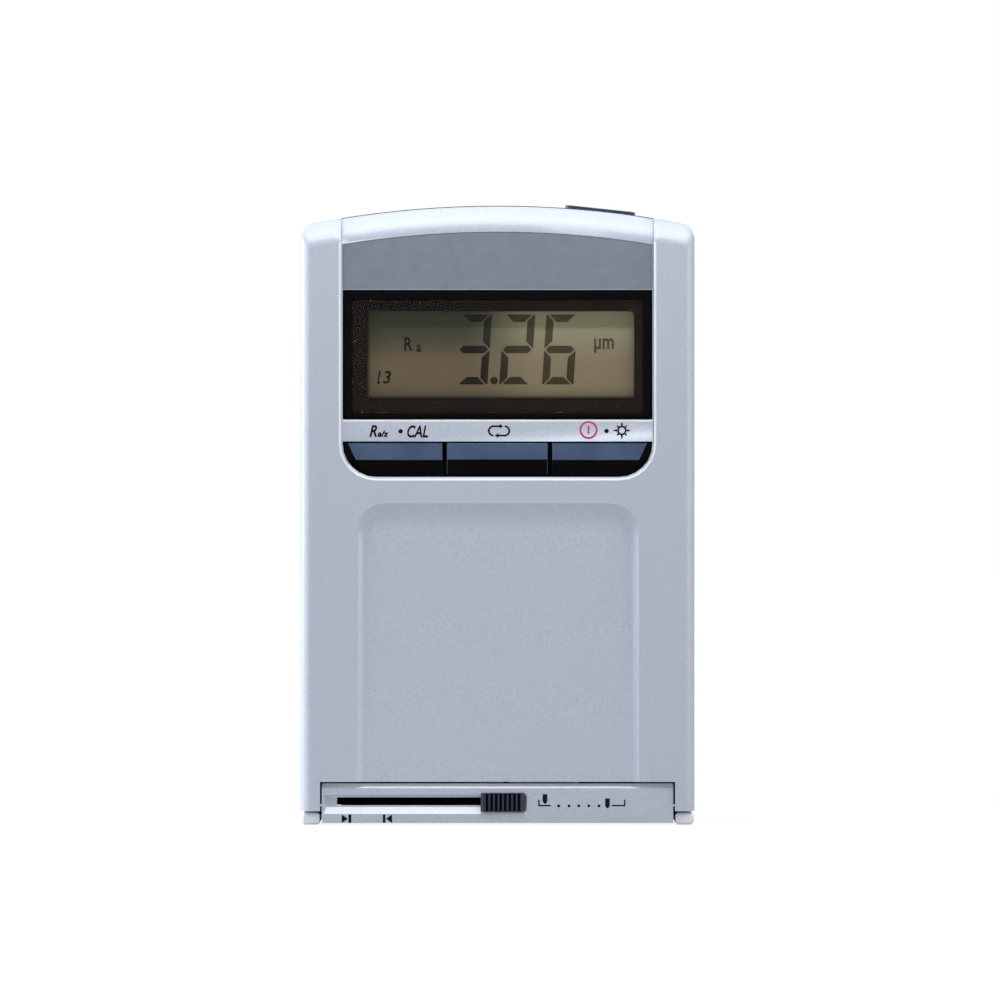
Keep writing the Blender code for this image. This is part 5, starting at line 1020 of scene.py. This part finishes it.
@dataclass
class BaseBar(Assembly):
    """The bar across the foot with its marks, the knob in its slot, and the two feet."""

    edge: float = 0.12 * MM
    foot_edge: float = 0.3 * MM
    knob_edge: float = 0.1 * MM
    smooth: float = 8.0
    skin: float = 1.3 * MM
    knob_rim: float = 0.5 * MM
    rib_height: float = 0.1 * MM
    tilted: float = 0.3
    facing: float = 0.2
    upward: float = 0.5
    face_y: float = field(default_factory=lambda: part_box("base_rail")[0].y)
    knob: Box = field(default_factory=lambda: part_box("lift_knob"))

    def build(self) -> None:
        """Builds the bar, the feet, the knob and the marks."""
        inside = Shelter(("base_rail", "front_shell", "rear_shell", "lift_slider"), self.skin).covers
        # The bar's narrow upward slopes get a paler lacquer as a painted highlight.
        Softened(
            "base_rail",
            radius=self.edge,
            smooth=self.smooth,
            others={Finishes.BRINK: self.is_highlit_brink, Finishes.BARE: inside},
        ).build()
        for foot in ("foot_left", "foot_right"):
            Softened(foot, radius=self.foot_edge, segments=3).build()
        # The knob's grooves are black as painted shade.
        painted_shade = {Finishes.BEZEL: self.is_shaded_groove}
        Softened("lift_knob", radius=self.knob_edge, finish=Finishes.NAVY, others=painted_shade).build()
        ink = Print("travel_legends", self.face_y, Finishes.INK)
        self.stylus_marks(ink)
        self.end_marks(ink)
        ink.build()

    def is_highlit_brink(self, face: Face) -> bool:
        """Says whether a face of the bar is a narrow slope that looks up, or the round of its left end, which
        gets a painted highlight.
        """
        middle = face.calc_center_median()
        looks_up = face.normal.z > self.tilted or face.normal.x < -self.tilted
        return middle.y < self.face_y + self.skin and -face.normal.y > self.facing and looks_up

    def is_shaded_groove(self, face: Face) -> bool:
        """Says whether a face of the knob lies in the grooves between its ribs, which get black as painted
        shade.
        """
        low, high = self.knob
        middle = face.calc_center_median()
        ribbed = low.x + self.knob_rim < middle.x < high.x - self.knob_rim
        sunk = abs(face.normal.x) > self.tilted or middle.y > low.y + self.rib_height
        return ribbed and sunk and face.normal.z < self.upward

    def stylus_marks(self, ink: Print) -> None:
        """Draws the lifted and the lowered stylus over their trays, with dots between them."""
        line = 0.26
        for mirror, low, tall in ((1, 3.7, 5.4), (-1, 2.9, 4.65)):
            end, heel = (7.2, 9.45) if mirror > 0 else (22.7, 20.25)
            ink.bar((min(end, heel), 3.25), (max(end, heel), 3.25 + line))
            ink.bar((min(end, end + mirror * line), 3.25 + line), (max(end, end + mirror * line), 4.4))
            x = 8.42 if mirror > 0 else 19.5
            ink.area(
                [(x - 0.42, low + 0.4), (x - 0.14, low), (x + 0.14, low), (x + 0.42, low + 0.4)]
                + [(x + 0.42, tall), (x - 0.42, tall)]
            )
        for x in (10.85, 12.68, 14.43, 16.2, 18.0):
            ink.dot((x, 3.33), 0.26)

    def end_marks(self, ink: Print) -> None:
        """Draws the two marks that say how far the knob slides: a triangle against a bar, each way."""
        low, high = 0.3, 1.8
        middle = (low + high) / 2
        ink.area([(-27.65, low), (-26.55, middle), (-27.65, high)])
        ink.bar((-26.45, low), (-25.95, high))
        ink.bar((-20.35, low), (-19.9, high))
        ink.area([(-18.7, low), (-18.7, high), (-19.8, middle)])


@dataclass
class Works(Assembly):
    """What the case holds: the cells, the board, the drive and the pickup."""

    cells: tuple[str, ...] = ("battery_cell_1", "battery_cell_2", "battery_cell_3")
    slot_shade_alloy: tuple[str, ...] = ("pickup_body", "stylus_arm")
    slot_shade_steel: tuple[str, ...] = ("lift_bar", "pivot_pin")
    rim: float = 0.25 * MM
    lift: str = "pickup_lift"

    def build(self) -> None:
        """Rounds the cells' rims, which show with the cover off, and makes what the slots show black, as
        painted shade inside the slots.
        """
        for node in self.cells:
            Softened(node, radius=self.rim).build()
        # Black finishes here paint the shade inside the slots.
        dress(*self.slot_shade_alloy, finish=Finishes.ANODISED)
        dress(*self.slot_shade_steel, finish=Finishes.BLACKED)
        self.spring()

    def spring(self) -> None:
        """Builds the coil over the pickup, which is pressed against its pocket as the pickup lifts."""
        node = "pickup_spring"
        # The coil gets the same black steel, as painted shade.
        coil = show(node + "_coil", merged(node), Finishes.BLACKED, BODIES[node], SMOOTH_TURN)
        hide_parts(node)
        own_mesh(coil)


@dataclass
class Studio(Assembly):
    """A white floor, a white surround, soft lamps and the camera at the photograph's angle."""

    camera_place: Triple = (0.00044, -1.012, 0.0576)
    focal_mm: float = 203.0
    sensor_mm: float = 36.0
    clip_end: float = 20.0
    aim: Triple = (0.0, 0.0, 0.055)
    surround: float = 0.07
    floor_size: float = 3.0
    floor_drop: float = 0.05 * MM
    lamps: dict[str, tuple[Triple, Pair, float, str]] = field(
        default_factory=lambda: {
            "high_lamp": ((0.0, -0.11, 0.27), (0.3, 0.06), 0.52, WHITE),
            "top_lamp": ((0.0, 0.02, 0.4), (0.5, 0.2), 0.7, WHITE),
            "left_lamp": ((-0.5, -0.2, 0.12), (0.25, 0.35), 0.8, "#F0F6FF"),
            "right_lamp": ((0.5, -0.2, 0.12), (0.25, 0.35), 0.95, "#FFF4E8"),
            "left_edge_lamp": ((-0.45, 0.06, 0.12), (0.2, 0.3), 2.0, "#F4F8FF"),
        }
    )

    def build(self) -> None:
        """Builds the floor, the surround, the lamps and the camera."""
        self.floor()
        self.world()
        for name, (place, size, watts, colour) in self.lamps.items():
            self.lamp(name, place, size, watts, colour)
        data = bpy.data.cameras.new("photo_camera")
        data.lens = self.focal_mm
        data.sensor_width = self.sensor_mm
        data.clip_end = self.clip_end
        camera = bpy.data.objects.new("photo_camera", data)
        camera.location = self.camera_place
        camera.rotation_euler = (math.radians(90), 0, 0)
        bpy.context.scene.collection.objects.link(camera)
        bpy.context.scene.camera = camera
        bpy.context.scene.view_settings.view_transform = "Standard"

    def floor(self) -> None:
        """Builds the floor."""
        bm = bmesh.new()
        bmesh.ops.create_grid(bm, x_segments=8, y_segments=8, size=self.floor_size)
        mesh = bpy.data.meshes.new("studio_floor")
        bm.to_mesh(mesh)
        bm.free()
        mesh.materials.append(Finishes.CARD.value.material())
        mesh.transform(Matrix.Translation((0.0, 0.0, -self.floor_drop)))
        ground = bpy.data.objects.new("studio_floor", mesh)
        bpy.context.scene.collection.objects.link(ground)

    def world(self) -> None:
        """Makes the surround white to sight, and a plain soft light to matt surfaces."""
        world = bpy.data.worlds.new("white_surround")
        world.use_nodes = True
        tree = world.node_tree
        seen = white_to_sight(tree)
        level = add_node(tree, "MapRange", {}, {"Value": seen, "To Min": self.surround, "To Max": 1.0})
        tree.links.new(level.outputs[0], tree.nodes["Background"].inputs["Strength"])
        tree.nodes["Background"].inputs["Color"].default_value = linear(WHITE)
        bpy.context.scene.world = world

    def lamp(self, name: str, place: Triple, size: Pair, watts: float, colour: str) -> None:
        """Adds a soft box that points at the middle of the tester.

        Args:
            name: the lamp's name.
            place: where it hangs.
            size: its width and height.
            watts: its strength.
            colour: its light's colour.
        """
        data = bpy.data.lights.new(name, "AREA")
        data.shape = "RECTANGLE"
        data.size, data.size_y = size
        data.energy = watts
        data.color = linear(colour)[:3]
        lamp = bpy.data.objects.new(name, data)
        lamp.location = place
        way = Vector(self.aim) - Vector(place)
        lamp.rotation_euler = way.to_track_quat("-Z", "Y").to_euler()
        bpy.context.scene.collection.objects.link(lamp)


def main() -> None:
    """Dresses every CAD node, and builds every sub-assembly."""
    logging.basicConfig(level=logging.INFO, format="%(message)s")
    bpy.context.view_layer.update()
    dress(*SLOTS)
    for assembly in (Case(), Display(), Keys(), StartButton(), BaseBar(), Works(), Studio()):
        before = set(bpy.data.objects)
        assembly.build()
        names = sorted(made.name for made in set(bpy.data.objects) - before)
        log.info("%s: %s", type(assembly).__name__, ", ".join(names))


if __name__ == "__main__":
    main()
